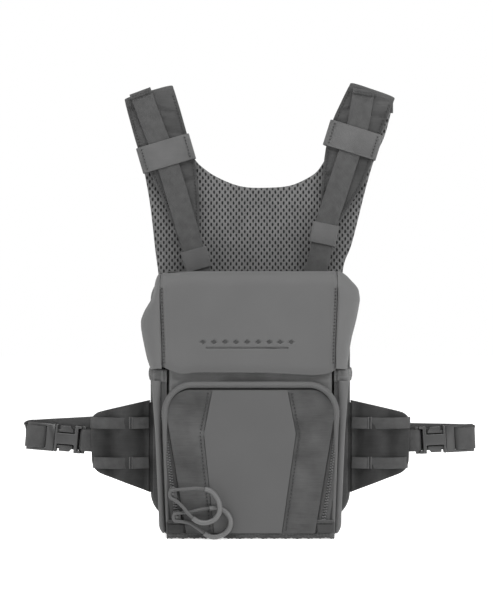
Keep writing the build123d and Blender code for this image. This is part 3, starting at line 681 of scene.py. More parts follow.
plan = roomPlan()
walls = [(0.0, 0.25 * np.sin(h / 19.0), h) for h in np.linspace(3, 222, 60)]
outside = [(1.0, 0, 0.3), (0.5, 0, 0.1), (0.02, 0, 0.0), (0.0, 0.6, 0.4)] + walls
rim = [(0.0, 0.5, 223.6), (0.0, 1.6, 224.0), (0.0, 2.6, 223.6)]
inside = [(0.0, 2.95, h) for h in np.linspace(222, 8, 30)] + [(0.0, 5, 4.6), (0.5, 5, 4.2),
                                                              (1.0, 5, 4.2)]
place(bagPiece("compartment", plan, outside + rim + inside, packCloth),
      "pack", "pack_cloth", "main_shell")
lining = ([(0.0, 3.05, h) for h in np.linspace(220.5, 8, 40)] + [(0.0, 6, 4.9), (1.0, 6, 4.6)])
lining = lining + [(1.0, 6, 5.6),
                   (0.0, 7.2, 5.9)] + [(0.0, 4.2, h) for h in np.linspace(9, 220.5, 40)]
place(bagPiece("liningBag", plan, lining + [(0.0, 3.6, 221.2), (0.0, 3.05, 220.5)], liningCloth),
      "pack", "lining", "shell_liner")


def levelLine(half, height, count):
    # points in X and Z on a level line, half to each side
    x = np.linspace(-half, half, count)
    return np.stack([x, np.full_like(x, height)], 1)


# Front band under the lid, and the hinge band
band = {"half": 71.0, "low": 126.0, "high": 154.0, "depth": -40.2, "bow": 2.2}
hinge = {"half": 76.0, "low": 222.5, "high": 231.2, "depth": 39.6, "bow": 1.9}
# the band's lighter cloth is painted light, against the shade under the lid
place(padPiece("frontBand", levelLine(band["half"], band["low"], 80),
               levelLine(band["half"], band["high"], 80), band["depth"], band["bow"], paintedLightBandCloth,
               3, 30, 40, lambda x, z: wrinkles(x * 0.6, z * 2.6, 26, 1.1, 0.4)),
      "pack", "pack_cloth", "front_band")
place(padPiece("hingeBand", levelLine(hinge["half"], hinge["low"], 60),
               levelLine(hinge["half"], hinge["high"], 60), hinge["depth"], hinge["bow"],
               packCloth, 4, 30, 16), "pack", "pack_cloth", "lid_hinge_band")

# Back panel and its piping
panel = {"half": 89.5, "low": 8.0, "high": 232.0, "corner": 24.0, "depth": 47.5, "thick": 3.5}


def panelHalf(z, grow=0.0):
    # half width of the rounded panel at each height
    r = panel["corner"] + grow
    fromEnd = np.minimum(z - panel["low"] + grow, panel["high"] + grow - z)
    drop = r - np.sqrt(np.clip(r**2 - np.clip(r - fromEnd, 0, r) ** 2, 0, None))
    return panel["half"] + grow - drop


panelZ = panel["low"] + (panel["high"] - panel["low"]) * eased(110)
low = np.stack([-panelHalf(panelZ), panelZ], 1)
high = np.stack([panelHalf(panelZ), panelZ], 1)
backPanel = place(padPiece("backPanel", low, high, panel["depth"], panel["thick"], packCloth, 18,
                           18, 90),
                  "pack", "back_padding", "back_panel")
right = np.stack([panelHalf(panelZ, 0.9), np.full_like(panelZ, panel["depth"]), panelZ], 1)
left = right[::-1] * (-1, 1, 1)
ring = alongCurve(np.concatenate([right, left, right[:1]]), 361, smooth=False)[:-1]
place(sweepPiece("panelPiping", ring, (0.0, 1.0, 0.0), circleProfile(2.9, 10), stretchKnit,
                 closed=True),
      "pack", "piping", "panel_piping")
print("compartment made")

# Side pockets, with gathered hems
pouch = {"front": -37.6, "back": 43.6, "frontHalf": 82.6, "backHalf": 85.0, "corner": 5.0,
         "low": 2.0, "hemLow": 136.0, "high": 147.4, "thick": 1.4}


def pouchWall(z, side, swell):
    # the pouch's wall in plan at one height: across the front, round the corner, back along the side
    share = (146 - z) / 144
    flare = np.clip((z - 105) / 33, 0, 1) ** 1.5
    front = pouch["frontHalf"] - 5 * share + 2.2 * flare
    rear = pouch["backHalf"] - 5 * share + 4.7 * flare
    bottom = np.clip((z - pouch["low"]) / 12, 0, 1)
    tuck = 5.0 * (1 - np.sqrt(1 - (1 - bottom) ** 2))
    path = np.array([(73.0, pouch["front"]),
                     (front - pouch["corner"] - tuck, pouch["front"] - 0.4),
                     (front - 1.2 - tuck, pouch["front"] + 1.3),
                     (front - tuck, pouch["front"] + 6),
                     ((front + rear) / 2 + 1.6 - tuck, 2.0), (rear - tuck, pouch["back"] - 6),
                     (rear - 3 - tuck, pouch["back"] - 0.8), (79.5, pouch["back"])])
    curve = alongCurve(path, 220)
    reach = np.linspace(0, 1, 220)
    ripple = swell * np.sin(reach * 150 + 2.5 * np.sin(reach * 37)) * np.sin(np.pi * reach) ** 0.3
    ripple = ripple * (0.7 + 0.3 * np.sin(z * 0.9 + reach * 60))
    offset = np.gradient(curve, axis=0)
    normal = np.stack([offset[:, 1], -offset[:, 0]], 1) / np.linalg.norm(offset, axis=1)[:, None]
    curve = curve + normal * ripple[:, None]
    return np.column_stack([side * curve[:, 0], curve[:, 1], np.full(220, z)]), normal * (side, 1)


for sideName, side in (("left", -1), ("right", 1)):
    for name, z0, z1, count, thick, material, slot, node in (
        ("pocketWall", pouch["low"], pouch["hemLow"] + 1, 70, pouch["thick"], stretchKnit,
         "stretch_cloth", "side_pocket"),
        ("pocketHem", pouch["hemLow"], pouch["high"], 22, 2.4, gatheredElastic, "elastic",
         "pocket_hem"),
    ):
        hem = name == "pocketHem"
        outer, inner = [], []
        for k, z in enumerate(np.linspace(z0, z1, count)):
            fade = np.clip((z - 112) / 24, 0, 1) ** 2
            swell = 1.1 if hem else fade
            points, normal = pouchWall(z, side, swell)
            roll = 1.5 * edgeRound(k / (count - 1), 2.2) if hem else 0.0
            flat = np.column_stack([normal, np.zeros(220)])
            outer.append(points + flat * roll)
            inner.append(points - flat * (thick - 0.4 * roll))
        piece = shellPiece(f"{name}{sideName.title()}", np.array(outer), np.array(inner), material)
        place(piece, "pack", slot, f"{node}_{sideName}")
    # the rolled front edge of the pocket, beside the front pocket's frame
    z = np.linspace(5.0, 137.5, 90)
    share = z / 137
    wide = (5.2 if side < 0 else 6.2) + 2.8 * np.clip((z - 90) / 47, 0, 1)
    centre = (76.8 if side < 0 else 75.6) + 5.8 * share
    centre = centre - 5.5 * np.clip((12 - z) / 12, 0, 1) ** 2
    path = np.stack([side * centre, np.full_like(z, -39.6), z], 1)
    swell = np.sqrt(np.clip(1 - np.clip((11 - z) / 7.5, 0, 1) ** 2, 0.02, 1))
    profile = circleProfile(1.0, 18)[None] * np.stack([wide * swell, 5.0 * swell], 1)[:, None]
    place(sweepPiece(f"pocketEdge{sideName.title()}", path, (1.0, 0.0, 0.0), profile, stretchKnit),
          "pack", "stretch_cloth")
print("side pockets made")

# Front pocket
face = {"lowHalf": 56.0, "top": 130.0, "corner": 21.0, "lean": 9.4, "bottom": 5.3}
lean = np.radians(face["lean"])


def faceHalf(z, grow):
    # half width of the pocket's face at each height, grown all round
    top, r = face["top"] + grow, face["corner"] + grow
    straight = face["lowHalf"] + grow / np.cos(lean) + (z - face["bottom"]) * np.tan(lean)
    # centre of the corner's arc, r inside the leaning side and r below the top
    cz = top - r
    cx = face["lowHalf"] + grow / np.cos(lean) + (cz - face["bottom"]) * np.tan(lean) - r / np.cos(lean)
    arc = cx + np.sqrt(np.clip(r**2 - (z - cz) ** 2, 0, None))
    return np.where(z > cz - r * np.sin(lean), np.where(z < top, arc, cx), straight)


def faceLine(grow, depth, count=300, low=None):
    # the path up the left side, over the top and down the right side
    low = face["bottom"] if low is None else low
    z = np.linspace(low, face["top"] + grow, 400)
    half = faceHalf(z, grow)
    left = np.stack([-half, np.full_like(z, depth), z], 1)
    return alongCurve(np.concatenate([left, left[::-1] * (-1, 1, 1)]), count, smooth=False)


def zipLine(low, high, depth, count):
    # a line beside the face that stands off it by low at the foot and by high from 105 mm up
    near, far = faceLine(low, depth, count), faceLine(high, depth, count)
    return near + (far - near) * np.clip((near[:, 2:] - 45) / 60, 0, 1)


gusset = {"lowHalf": 73.0, "highHalf": 78.0, "top": 137.0, "corner": 27.0, "front": -46.8,
          "back": -38.0}


def gussetHalf(z):
    # outer half width of the pocket's frame
    slope = (gusset["highHalf"] - gusset["lowHalf"]) / gusset["top"]
    straight = gusset["lowHalf"] + z * slope
    r, cz = gusset["corner"], gusset["top"] - gusset["corner"]
    cx = gusset["lowHalf"] + cz * slope - r
    return np.where(z > cz, cx + np.sqrt(np.clip(r**2 - (z - cz) ** 2, 0, None)), straight)


def atDepth(points, depth):
    # points in X and Z, set at a depth in Y
    return np.concatenate([points[..., :1], np.broadcast_to(depth, points.shape[:-1])[..., None],
                           points[..., 1:]], -1)


# frame: its outer wall, front rim and inner wall, as one sheet folded round the opening
cornerLow, count = gusset["top"] - gusset["corner"], 360
frameZ = np.concatenate([np.linspace(0, cornerLow, 60),
                         cornerLow + gusset["corner"] * np.sin(np.linspace(0, np.pi / 2, 30))[1:]])
outerLeft = np.stack([-gussetHalf(frameZ), frameZ], 1)
outerLoop = alongCurve(np.concatenate([outerLeft, outerLeft[::-1] * (-1, 1)]), count, smooth=False)
innerLoop = zipLine(5.4, 3.2, 0, count)[:, [0, 2]]
frontRim = outerLoop + (innerLoop - outerLoop) * np.linspace(0, 1, 9)[1:, None, None]
turnDepth = gusset["front"] + 1.2  # where the outer wall starts to round into the rim
skin = [atDepth(outerLoop, d) for d in np.linspace(gusset["back"], turnDepth, 10)]
skin += [atDepth(outerLoop * (1 - 0.004 * k), turnDepth - 0.4 * k) for k in (1, 2)]
skin += [atDepth(loop, gusset["front"]) for loop in frontRim]
skin += [atDepth(innerLoop, d) for d in np.linspace(gusset["front"], gusset["back"], 10)[1:]]
skin = np.array(skin)
faces, corners = gridFaces(len(skin), count)
# the back joins the inner wall's last row to the outer wall's first
first, last = np.arange(count - 1), (len(skin) - 1) * count + np.arange(count - 1)
backFaces = np.stack([first, first + 1, last + 1, last], 1)
uv = np.concatenate([corners.astype(float), np.zeros((count - 1, 4, 2))])
place(finishPiece("pocketFrame", skin.reshape(-1, 3), np.concatenate([faces, backFaces]), uv,
                  packCloth), "pack", "pack_cloth", "pocket_gusset")

# rolled band over the zipper: over the top it covers the coil, and down the sides it moves out
bandPath = alongCurve(np.concatenate([outerLeft[8:], outerLeft[8:][::-1] * (-1, 1)]), 320,
                      smooth=False)
inward = np.stack([-np.gradient(bandPath[:, 1]), np.gradient(bandPath[:, 0])], 1)
inward /= np.linalg.norm(inward, axis=1)[:, None]
inward *= np.sign(((np.array([0, 70.0]) - bandPath) * inward).sum(1))[:, None]
sink = np.clip((bandPath[:, 1] - 70) / 40, 0, 1)
bandPath = bandPath + inward * (1.4 + 1.2 * sink)[:, None]
band3d = np.stack([bandPath[:, 0], -47.4 - 2.2 * sink, bandPath[:, 1]], 1)
profile = roundedBox(1, 1, 0.5, 6)[None] * np.stack([2.8 + 2.4 * sink, 2.0 + 2.6 * sink],
                                                    1)[:, None]
place(sweepPiece("zipperBand", band3d, np.column_stack([inward[:, 0], 0 * sink, inward[:, 1]]),
                 profile, coatedCloth), "pack", "pack_cloth")

# tape between the frame and the coil
tapeInner = zipLine(5.2, 3.0, 0, 300)[:, [0, 2]]
tapeOuter = zipLine(10.5, 5.4, 0, 300)[:, [0, 2]]
reach = gussetHalf(np.clip(tapeOuter[:, 1], 0, 135)) - 1.0
tapeOuter = np.stack([np.clip(tapeOuter[:, 0], -reach, reach), np.clip(tapeOuter[:, 1], 0, 135)],
                     1)
cross = tapeInner + (tapeOuter - tapeInner) * np.linspace(0, 1, 8)[:, None, None]
place(shellPiece("zipperTape", atDepth(cross, -47.9), atDepth(cross, -46.9), zipTape), "pack",
      "zipper_tape", "zipper_tape")


def coilTeeth(name, low, high, side, body, node):
    # half a nylon coil: flattened loops across the tape's edge, one every 2.3 mm, which is
    # coarser than the real 1.5 mm so that they show
    path = zipLine(low, high, -48.1, 165)
    ahead = np.gradient(path, axis=0)
    ahead /= np.linalg.norm(ahead, axis=1)[:, None]
    across = np.cross(ahead, (0.0, 1.0, 0.0)) * side
    turn = np.linspace(0, 2 * np.pi, 8, endpoint=False)
    ringA, ringB = np.cos(turn), np.sin(turn)
    t = np.linspace(-1, 1, 5)
    fat = np.sqrt(np.clip(1 - (0.92 * t) ** 2, 0.05, 1))
    grid = (path[:, None, None] + across[:, None, None] * (1.0 * t)[None, :, None, None]
            + ahead[:, None, None] * (0.78 * fat)[None, :, None, None] * ringA[None, None, :, None]
            + np.array([0, 0.95, 0.0]) * fat[None, :, None, None] * ringB[None, None, :, None])
    faces, corners = gridFaces(5, 8, False, True)
    ends = np.array([[0, 1, 2, 3], [0, 3, 4, 7], [4, 5, 6, 7], [32, 35, 34, 33], [32, 39, 36, 35],
                     [36, 39, 38, 37]])
    block = np.concatenate([faces, ends])
    every = (block[None] + (np.arange(len(path)) * 40)[:, None, None]).reshape(-1, 4)
    piece = finishPiece(name, grid.reshape(-1, 3), every, np.zeros((len(every), 4, 2)), coilNylon)
    return place(piece, body, "zipper_coil", node)


coilTeeth("coilOuter", 6.3, 3.9, 1, "pack", "zipper_coil_outer")
coilTeeth("coilInner", 4.6, 2.3, -1, "pocket_flap", "zipper_coil_inner")

# the drop front: a backing with the inner tape, the dark cloth and the smooth middle panel
flapZ = face["bottom"] + 0.1 + (face["top"] - face["bottom"] - 0.2) * eased(130)


def faceEdges(z, grow):
    # the left and right edges of the face at these heights, in X and Z
    z = np.clip(z, face["bottom"], face["top"] + grow - 0.001)
    half = faceHalf(z, grow)
    return np.stack([-half, z], 1), np.stack([half, z], 1)


backZ = face["bottom"] + (face["top"] + 2.0 - face["bottom"]) * eased(100)
low, high = faceEdges(backZ, 2.1)
tape = 2.1 * np.clip((105 - backZ) / 60, 0, 1)[:, None] * (1, 0)
low, high = low - tape, high + tape
place(padPiece("flapBacking", low, high, -47.3, 0.5, zipTape, 30, 30, 60), "pocket_flap",
      "zipper_tape",
      "flap_backing")
clothHalf = faceHalf(np.clip(flapZ, face["bottom"], face["top"] - 0.11), -0.1)
low, high = np.stack([-clothHalf, flapZ], 1), np.stack([clothHalf, flapZ], 1)


def sideCrease(x, z):
    # slack in the dark cloth: shallow creases that run across it
    edge = np.clip((np.abs(x) - 34) / 12, 0, 1)
    return edge * (wrinkles(x * 0.45, z * 1.5, 34, 1.5, 0.9) + wrinkles(x, z * 1.4, 15, 0.8, 2.2))


place(padPiece("faceCloth", low, high, -48.7, 1.3, packCloth, 26, 26, 150, sideCrease),
      "pocket_flap", "pack_cloth", "flap_side_panel_left", "flap_side_panel_right")
middle = {"z": [5.6, 92.0, 129.6], "left": [-31.5, -40.5, -33.0], "right": [27.0, 39.3, 32.0]}
midZ = 5.5 + 124.2 * eased(120)
low = np.stack([np.interp(midZ, middle["z"], middle["left"]), midZ], 1)
high = np.stack([np.interp(midZ, middle["z"], middle["right"]), midZ], 1)
middlePanel = padPiece("middlePanel", low, high, -49.7, 0.9, coatedCloth, 20, 20, 100,
                       lambda x, z: wrinkles(x, z, 80, 0.3, 1.4))
place(middlePanel, "pocket_flap", "smooth_cloth", "flap_centre_panel")
# dark tubes along the middle panel's edges, in the thread's colour: painted shadow in the seams
for side, name in ((-1, "left"), (1, "right")):
    z = np.linspace(7, 128, 60)
    edge = np.interp(z, middle["z"], middle[name])
    seam = np.stack([edge + side * 0.3, np.full_like(z, -50.1), z], 1)
    place(sweepPiece(f"middleSeamShadow{name.title()}", seam, (1.0, 0.0, 0.0),
                     circleProfile(0.9 if side > 0 else 0.5, 8),
                     thread), "pocket_flap", "pack_cloth")
    path = np.stack([edge + side * 3.3, np.full_like(z, -50.2), z], 1)
    place(stitchRow(f"middleStitches{name.title()}", path, 3.1, 1.7, 0.75, thread, 0.4),
          "pocket_flap", "pack_cloth")

# a dark tube round the face's edge, in the thread's colour: painted shadow in the seam
seam = alongCurve(faceLine(0.6, -48.5, 300), 300, False)
place(sweepPiece("faceSeamShadow", seam, (0.0, 1.0, 0.0), circleProfile(1.2, 8), thread), "pocket_flap",
      "pack_cloth")

# binding along the bottom, and the tabs at the zipper's ends
bindX = np.linspace(-72.2, 72.8, 240)
bindPath = np.stack([bindX, -48.1 + 0.3 * np.sin(bindX / 4.2),
                     3.25 + wrinkles(bindX, 0 * bindX, 17, 0.4, 0.8)], 1)
lumps = 1 + 0.09 * np.sin(bindX * 1.9) + 0.12 * np.sin(bindX * 0.63 + 1)
profile = roundedBox(1, 1, 0.5, 5)[None] * np.stack([4.9 * lumps, 3.0 * lumps], 1)[:, None]
place(sweepPiece("bottomBinding", bindPath, (0.0, 0.0, 1.0), profile, bindingTape),
      "pack", "piping", "bottom_binding")
for height, name in ((1.4, "Low"), (3.9, "High")):
    path = bindPath[6:-6] * (1, 0, 1) + (0, -49.55, height - 2.5)
    place(stitchRow(f"bindingStitches{name}", path, 2.7, 1.5, 0.4, thread), "pack", "piping")
tab = {"inner": 58.0, "outer": 71.0, "low": 5.2, "high": 13.2, "lineRise": 2.3}
for side, name in ((-1, "Left"), (1, "Right")):
    z = np.linspace(tab["low"], tab["high"], 24)
    edges = [np.stack([np.full_like(z, side * tab[edge]), z], 1) for edge in ("inner", "outer")]
    piece = padPiece(f"zipTab{name}", *edges, -48.5, 0.9, wingCloth, 10, 10, 24)
    place(piece, "pack", "pack_cloth", "zip_end_tabs" if side < 0 else None)
    x = side * np.linspace(tab["inner"] - 0.3, tab["outer"] + 0.4, 12)
    ridge = np.stack([x, np.full_like(x, -48.9), np.full_like(x, tab["high"] + tab["lineRise"])],
                     1)
    place(sweepPiece(f"zipTabTurn{name}", ridge, (0.0, 0.0, 1.0), roundedBox(3.0, 1.5, 0.7, 4),
                     zipTape),
          "pack", "pack_cloth")
    place(stitchRow(f"zipTabStitches{name}", ridge + (0, -0.75, -0.2), 2.2, 1.3, 0.3, thread),
          "pack",
          "pack_cloth")
print("front pocket made")

# Belt wings
wing = {
    "top": [(92.2, 116.5), (100, 114.8), (120, 110.2), (136, 106.4), (141.5, 104.4),
            (145.2, 100.8), (146.4, 96)],
    "bottom": [(92.2, 31.5), (100, 34.6), (120, 42.2), (134, 47.5), (140, 50.5), (144, 55),
               (145.8, 61)],
    "depth": 45.6, "half": 4.3, "rows": (59.3, 95.9), "rowHigh": 10.4, "tack": 109.4,
        "rowInner": 93.0,
}
for sideName, side in (("left", -1), ("right", 1)):
    body = f"{sideName}_wing"
    low = alongCurve(wing["bottom"], 70) * (side, 1)
    high = alongCurve(wing["top"], 70) * (side, 1)

    def dimple(x, z, side=side):
        # the pad is drawn in where the tacks pull, and slack between them
        reach = np.abs(x)
        hollow = 3.0 * np.exp(-((reach - 127) / 6.0) ** 2) + 3.4 * np.exp(-((reach - 96)
                                                                            / 6.0) ** 2)
        puff = 1.4 * np.exp(-((reach - 114) / 8.0) ** 2)
        return hollow - puff + wrinkles(x, z, 26, 0.9, 0.5 + side)

    pad = padPiece(f"wingPad{sideName.title()}", low, high, wing["depth"], wing["half"], wingCloth,
                   5, 9,
                   60, dimple)
    place(pad, body, "wing_cloth", f"wing_pad_{sideName}")
    for k, height in enumerate(wing["rows"]):
        rowEnd = 144.2 if k == 0 else 146.4
        x = np.linspace(wing["rowInner"], rowEnd, 90)
        slack = np.where(x < wing["tack"], np.sin(np.pi * np.clip((x - 93) / 17.5, 0, 1)) * 1.1,
                         np.sin(np.pi * np.clip((x - 110.5) / 36, 0, 1)) * 1.5)
        drop = 0.6 * np.sin(np.pi * np.clip((x - 93) / 53, 0, 1))
        outer = np.clip((x - rowEnd + 3.3) / 3.3, 0, 1) ** 2 * 3.2
        path = np.stack([side * x, 40.9 - slack + outer, height - drop], 1)
        row = sweepPiece(f"wingRow{k}{sideName.title()}", path, (0.0, 0.0, 1.0),
                         roundedBox(wing["rowHigh"], 1.3, 0.5, 4), rowWebbing)
        place(row, body, "webbing", f"wing_webbing_{sideName}" if k == 0 else None)
        tackZ = np.linspace(height - 5.6, height + 5.2, 30)
        # a bartack: a dark slit between two pale threads
        for name, shift, wide, cloth in (("Slit", 0.0, 1.3, wingCloth),
                                         ("In", -1.15, 1.0, paleThread),
                                         ("Out", 1.15, 1.0, paleThread)):
            x = side * (wing["tack"] + shift) + 0.15 * np.sin(tackZ * 5 + shift)
            y = np.full(30, 39.95 if name == "Slit" else 39.6)
            tack = sweepPiece(f"bartack{name}{k}{sideName.title()}", np.stack([x, y, tackZ], 1),
                              (1.0, 0.0, 0.0), circleProfile(wide, 8, 0.7), cloth)
            first = k == 0 and name == "Slit"
            place(tack, body, "thread", f"wing_bartacks_{sideName}" if first else None)

# Buckles, drawn in each one's own frame: along it away from the wing, forward and up
buckle = {"start": 146.6, "depth": 45.5, "height": 79.0, "tilt": {"left": 5.0, "right": 3.0},
          "end": 58.5, "plugThick": 5.6, "clear": 0.3, "web": 1.4}
for sideName, side in (("left", -1), ("right", 1)):
    title = sideName.title()
    tilt = np.radians(buckle["tilt"][sideName])
    out = np.array([side * np.cos(tilt), 0, np.sin(tilt)])
    up = np.array([-side * np.sin(tilt), 0, np.cos(tilt)])
    origin = np.array([side * buckle["start"], buckle["depth"], buckle["height"]])

    def inBuckle(points, out=out, origin=origin):
        # points are (along, forward)
        points = np.array(points, float)
        return origin + points[:, :1] * out + points[:, 1:2] * np.array([0, -1.0, 0])

    softened(f"buckle_socket_{sideName}", f"buckleSocket{title}", 0.7, buckleAcetal,
             f"{sideName}_wing",
             "moulded_plastic")
    softened(f"buckle_plug_{sideName}", f"bucklePlug{title}", 0.8, buckleAcetal,
             f"{sideName}_plug",
             "moulded_plastic")
    for arm in ("upper", "lower"):
        softened(f"buckle_arm_{arm}_{sideName}", f"buckleArm{arm.title()}{title}", 0.6,
                 buckleAcetal,
                 f"{sideName}_{arm}_arm", "moulded_plastic")
    anchor = alongCurve(inBuckle([(-2.5, 0.6), (2.0, 2.1), (5.0, 2.75), (8.0, 2.6), (9.55, 1.2),
                                  (9.75, 0),
                                  (9.55, -1.2), (8.0, -2.6), (5.0, -2.75), (2.0, -2.1),
                                  (-2.5, -0.6)]), 70)
    place(sweepPiece(f"buckleAnchor{title}", anchor, up, roundedBox(20, 1.3, 0.5, 4), webbing),
          f"{sideName}_wing", "webbing", f"buckle_anchor_{sideName}")
    front = buckle["plugThick"] / 2 + buckle["clear"] + buckle["web"] / 2
    rear = 50.8 - buckle["depth"] + buckle["web"] / 2
    end = buckle["end"] + buckle["clear"] + buckle["web"] / 2
    route = [(41.6, -1.5), (42.4, 1.6), (44.6, front), (50, front + 0.3), (56.5, front),
             (58.6, front - 1.2),
             (end, 0), (58.9, -rear + 2.5), (56.5, -rear + 0.6), (50, -rear), (36, -rear - 0.2),
             (14, -rear + 0.1), (-16, -rear), (-47, -rear)]
    climb = np.interp([r[0] for r in route[8:]], [-47, -16, 14, 36, 56], [19, 14.4, 10, 6.9, 3.9])
    climb = np.concatenate([[0.0] * 7, [1.8], climb]) * (1.0 if side < 0 else 0.5)
    strap = alongCurve(inBuckle(route) + climb[:, None] * up, 220)
    place(sweepPiece(f"sideStrap{title}", strap, up, roundedBox(20, 1.35, 0.5, 4), webbing),
          f"{sideName}_plug", "webbing", f"side_strap_{sideName}")
    # the strap's loose end, tucked flat behind the buckle
    tail = alongCurve(inBuckle([(57.0, -rear + 1.8), (36.0, -rear + 1.5), (14.0, -rear + 1.5),
                                (1.0, -rear + 1.6)]), 60)
    place(sweepPiece(f"strapEnd{title}", tail, up, roundedBox(20, 1.2, 0.5, 4), webbing),
          f"{sideName}_plug", "webbing")
print("wings and buckles made")

# Shoulder harness
harness = {
    "left": {
        "outer": [(-65.8, 262.5), (-69.0, 272), (-72.6, 281.5), (-81.5, 302), (-92.3, 325.0),
                  (-98.0, 336),
                  (-103.4, 347.6), (-110.5, 372), (-116.4, 394.5)],
        "inner": [(-47.2, 262.5), (-46.8, 280), (-47.0, 300), (-48.6, 320), (-51.4, 338.5),
                  (-54.6, 350),
                  (-58.2, 361.2), (-64.6, 384), (-71.8, 407.4)],
        "web": [(-101.4, 400.2), (-92.8, 377.0), (-83.6, 352.8), (-74.5, 328.9), (-63.4, 291.6),
                (-52.1, 253.7), (-45.0, 228)],
        "wide": (-77.5, 343.0, 16.3, 24.8), "small": 245.6,
        "folds": [(381.0, -76.0, -0.25), (362.5, -68.0, -0.1), (384.0, -108.0, 0.3),
                  (318.0, -58.0, 0.2)],
    },
    "right": {
        "outer": [(82.6, 281.5), (88.5, 291), (95.4, 301.5), (103.9, 315.5), (112.2, 337),
                  (116.5, 349),
                  (120.4, 361.5), (127.6, 380), (134.0, 395.6)],
        "inner": [(63.4, 281.5), (64.2, 292), (65.2, 305), (66.8, 327), (69.4, 347.5), (72.6, 361),
                  (76.2, 374.5), (84.2, 392), (92.9, 409.6)],
        "web": [(104.4, 401.4), (101.8, 386), (98.3, 367.2), (90.4, 341.8), (80.4, 311),
                (70.3, 279.8),
                (62.9, 245.2), (57.0, 228)],
        "wide": (94.4, 355.3, -17.3, 24.8), "small": 268.6,
        "folds": [(384.0, 92.0, 0.25), (392.0, 121.0, -0.2), (377.0, 118.0, -0.15),
                  (322.0, 76.0, -0.2)],
    },
}
pad = {"depth": 46.75, "half": 2.6, "foldRadius": 3.3, "foldLow": 388.2}
for sideName, side in (("left", -1), ("right", 1)):
    data = harness[sideName]
    title = sideName.title()
    outer = alongCurve(data["outer"], 90)
    inner = alongCurve(data["inner"], 90)
    # over the top: both edges follow a half circle, then run down behind to meet the yoke
    way = (outer[-1] - outer[-9]) + (inner[-1] - inner[-9])
    way /= np.linalg.norm(way)
    radius = pad["foldRadius"]
    turn = np.linspace(0, np.pi, 15)[1:]
    rows, depth = [np.stack([outer, inner], 1)[:-4]], [np.full(86, pad["depth"])]
    pivot = np.stack([outer[-1], inner[-1]]) - way * (radius + pad["half"])
    rows.append(pivot + way * radius * np.sin(turn)[:, None, None])
    depth.append(pad["depth"] + radius * (1 - np.cos(turn)))
    fall = np.linspace(0, 1, 6)[1:, None, None]
    drop = (pivot[:, 1] - pad["foldLow"])[:, None] / way[1]
    rows.append(pivot - way * drop * fall)
    depth.append(np.full(5, pad["depth"] + 2 * radius))
    edges, depth = np.concatenate(rows), np.concatenate(depth)
    u = eased(50)
    flat = edges[:, :1] + (edges[:, 1:] - edges[:, :1]) * u[None, :, None]
    centre = np.stack([flat[..., 0], np.broadcast_to(depth[:, None], flat.shape[:2]),
                       flat[..., 1]], -1)
    along = np.gradient(centre, axis=0)
    across = np.gradient(centre, axis=1)
    normal = np.cross(along, across)
    normal /= np.linalg.norm(normal, axis=-1)[..., None]
    normal *= np.sign(-normal[10, 25, 1])
    v = np.linspace(0, 1, len(edges))
    swell = edgeRound(u, 4.0)[None] * (np.clip(v / 0.03, 0, 1) ** 0.5
                                       * np.clip((1 - v) / 0.01, 0, 1) ** 0.5)[:, None]
    crease = wrinkles(flat[..., 0], flat[..., 1], 30, 1.0, 1.1 + side)
    for foldZ, foldX, slope in data["folds"]:
        line = flat[..., 1] - foldZ - slope * (flat[..., 0] - foldX)
        crease = crease + 3.4 * np.exp(-((line / 2.6) ** 2)) * np.exp(-(((flat[..., 0] - foldX)
                                                                         / 13) ** 2))
    crease = crease * (normal[..., 1] < -0.5)
    frontFace = centre + normal * (swell * (pad["half"] - 0.1 - crease * 0.5))[..., None]
    backFace = centre - normal * (swell * pad["half"])[..., None]
    shoulder = shellPiece(f"shoulderPad{title}", frontFace, backFace, padCloth)
    place(shoulder, "pack", "pack_cloth", f"shoulder_pad_{sideName}")
    route = alongCurve(data["web"], 200)
    depthWeb = np.where(route[:, 1] > 262,
                        43.15 - 0.4 * np.sin(np.clip((route[:, 1] - 262) / 130, 0, 1) * np.pi),
                        43.1)
    path = np.stack([route[:, 0], depthWeb, route[:, 1]], 1)
    heading = np.gradient(route, axis=0)
    acrossWeb = np.stack([heading[:, 1], 0 * heading[:, 0], -heading[:, 0]], 1)
    place(sweepPiece(f"shoulderWebbing{title}", path, acrossWeb, roundedBox(20, 1.35, 0.5, 4),
                     webbing),
          "pack", "webbing", f"shoulder_webbing_{sideName}")
    # stitches along both edges of the pad
    for edge, other, name in ((outer, inner, "Outer"), (inner, outer, "Inner")):
        toward = other - edge
        line = edge + toward / np.linalg.norm(toward, axis=1)[:, None] * 2.6
        rim = np.stack([line[4:-6, 0], np.full(80, 44.75), line[4:-6, 1]], 1)
        place(stitchRow(f"padStitches{name}{title}", rim, 2.9, 1.6, 0.7, thread, 0.5), "pack",
              "pack_cloth")
    # sewn tail at the webbing's top end
    tail = path[:6] + (0, -1.3, 0)
    place(sweepPiece(f"webbingTail{title}", tail, acrossWeb[:6], roundedBox(20.4, 1.0, 0.45, 4),
                     webbing),
          "pack", "webbing")
    for row, along in (("Low", 7), ("High", 3)):
        t = np.linspace(-8.6, 8.6, 10)[:, None]
        step = acrossWeb[along] / np.linalg.norm(acrossWeb[along])
        place(stitchRow(f"tailStitches{row}{title}", path[along] + (0, -2.1, 0) + t * step, 2.3,
                        1.2, 0.4, thread,
                        0.1), "pack", "webbing")
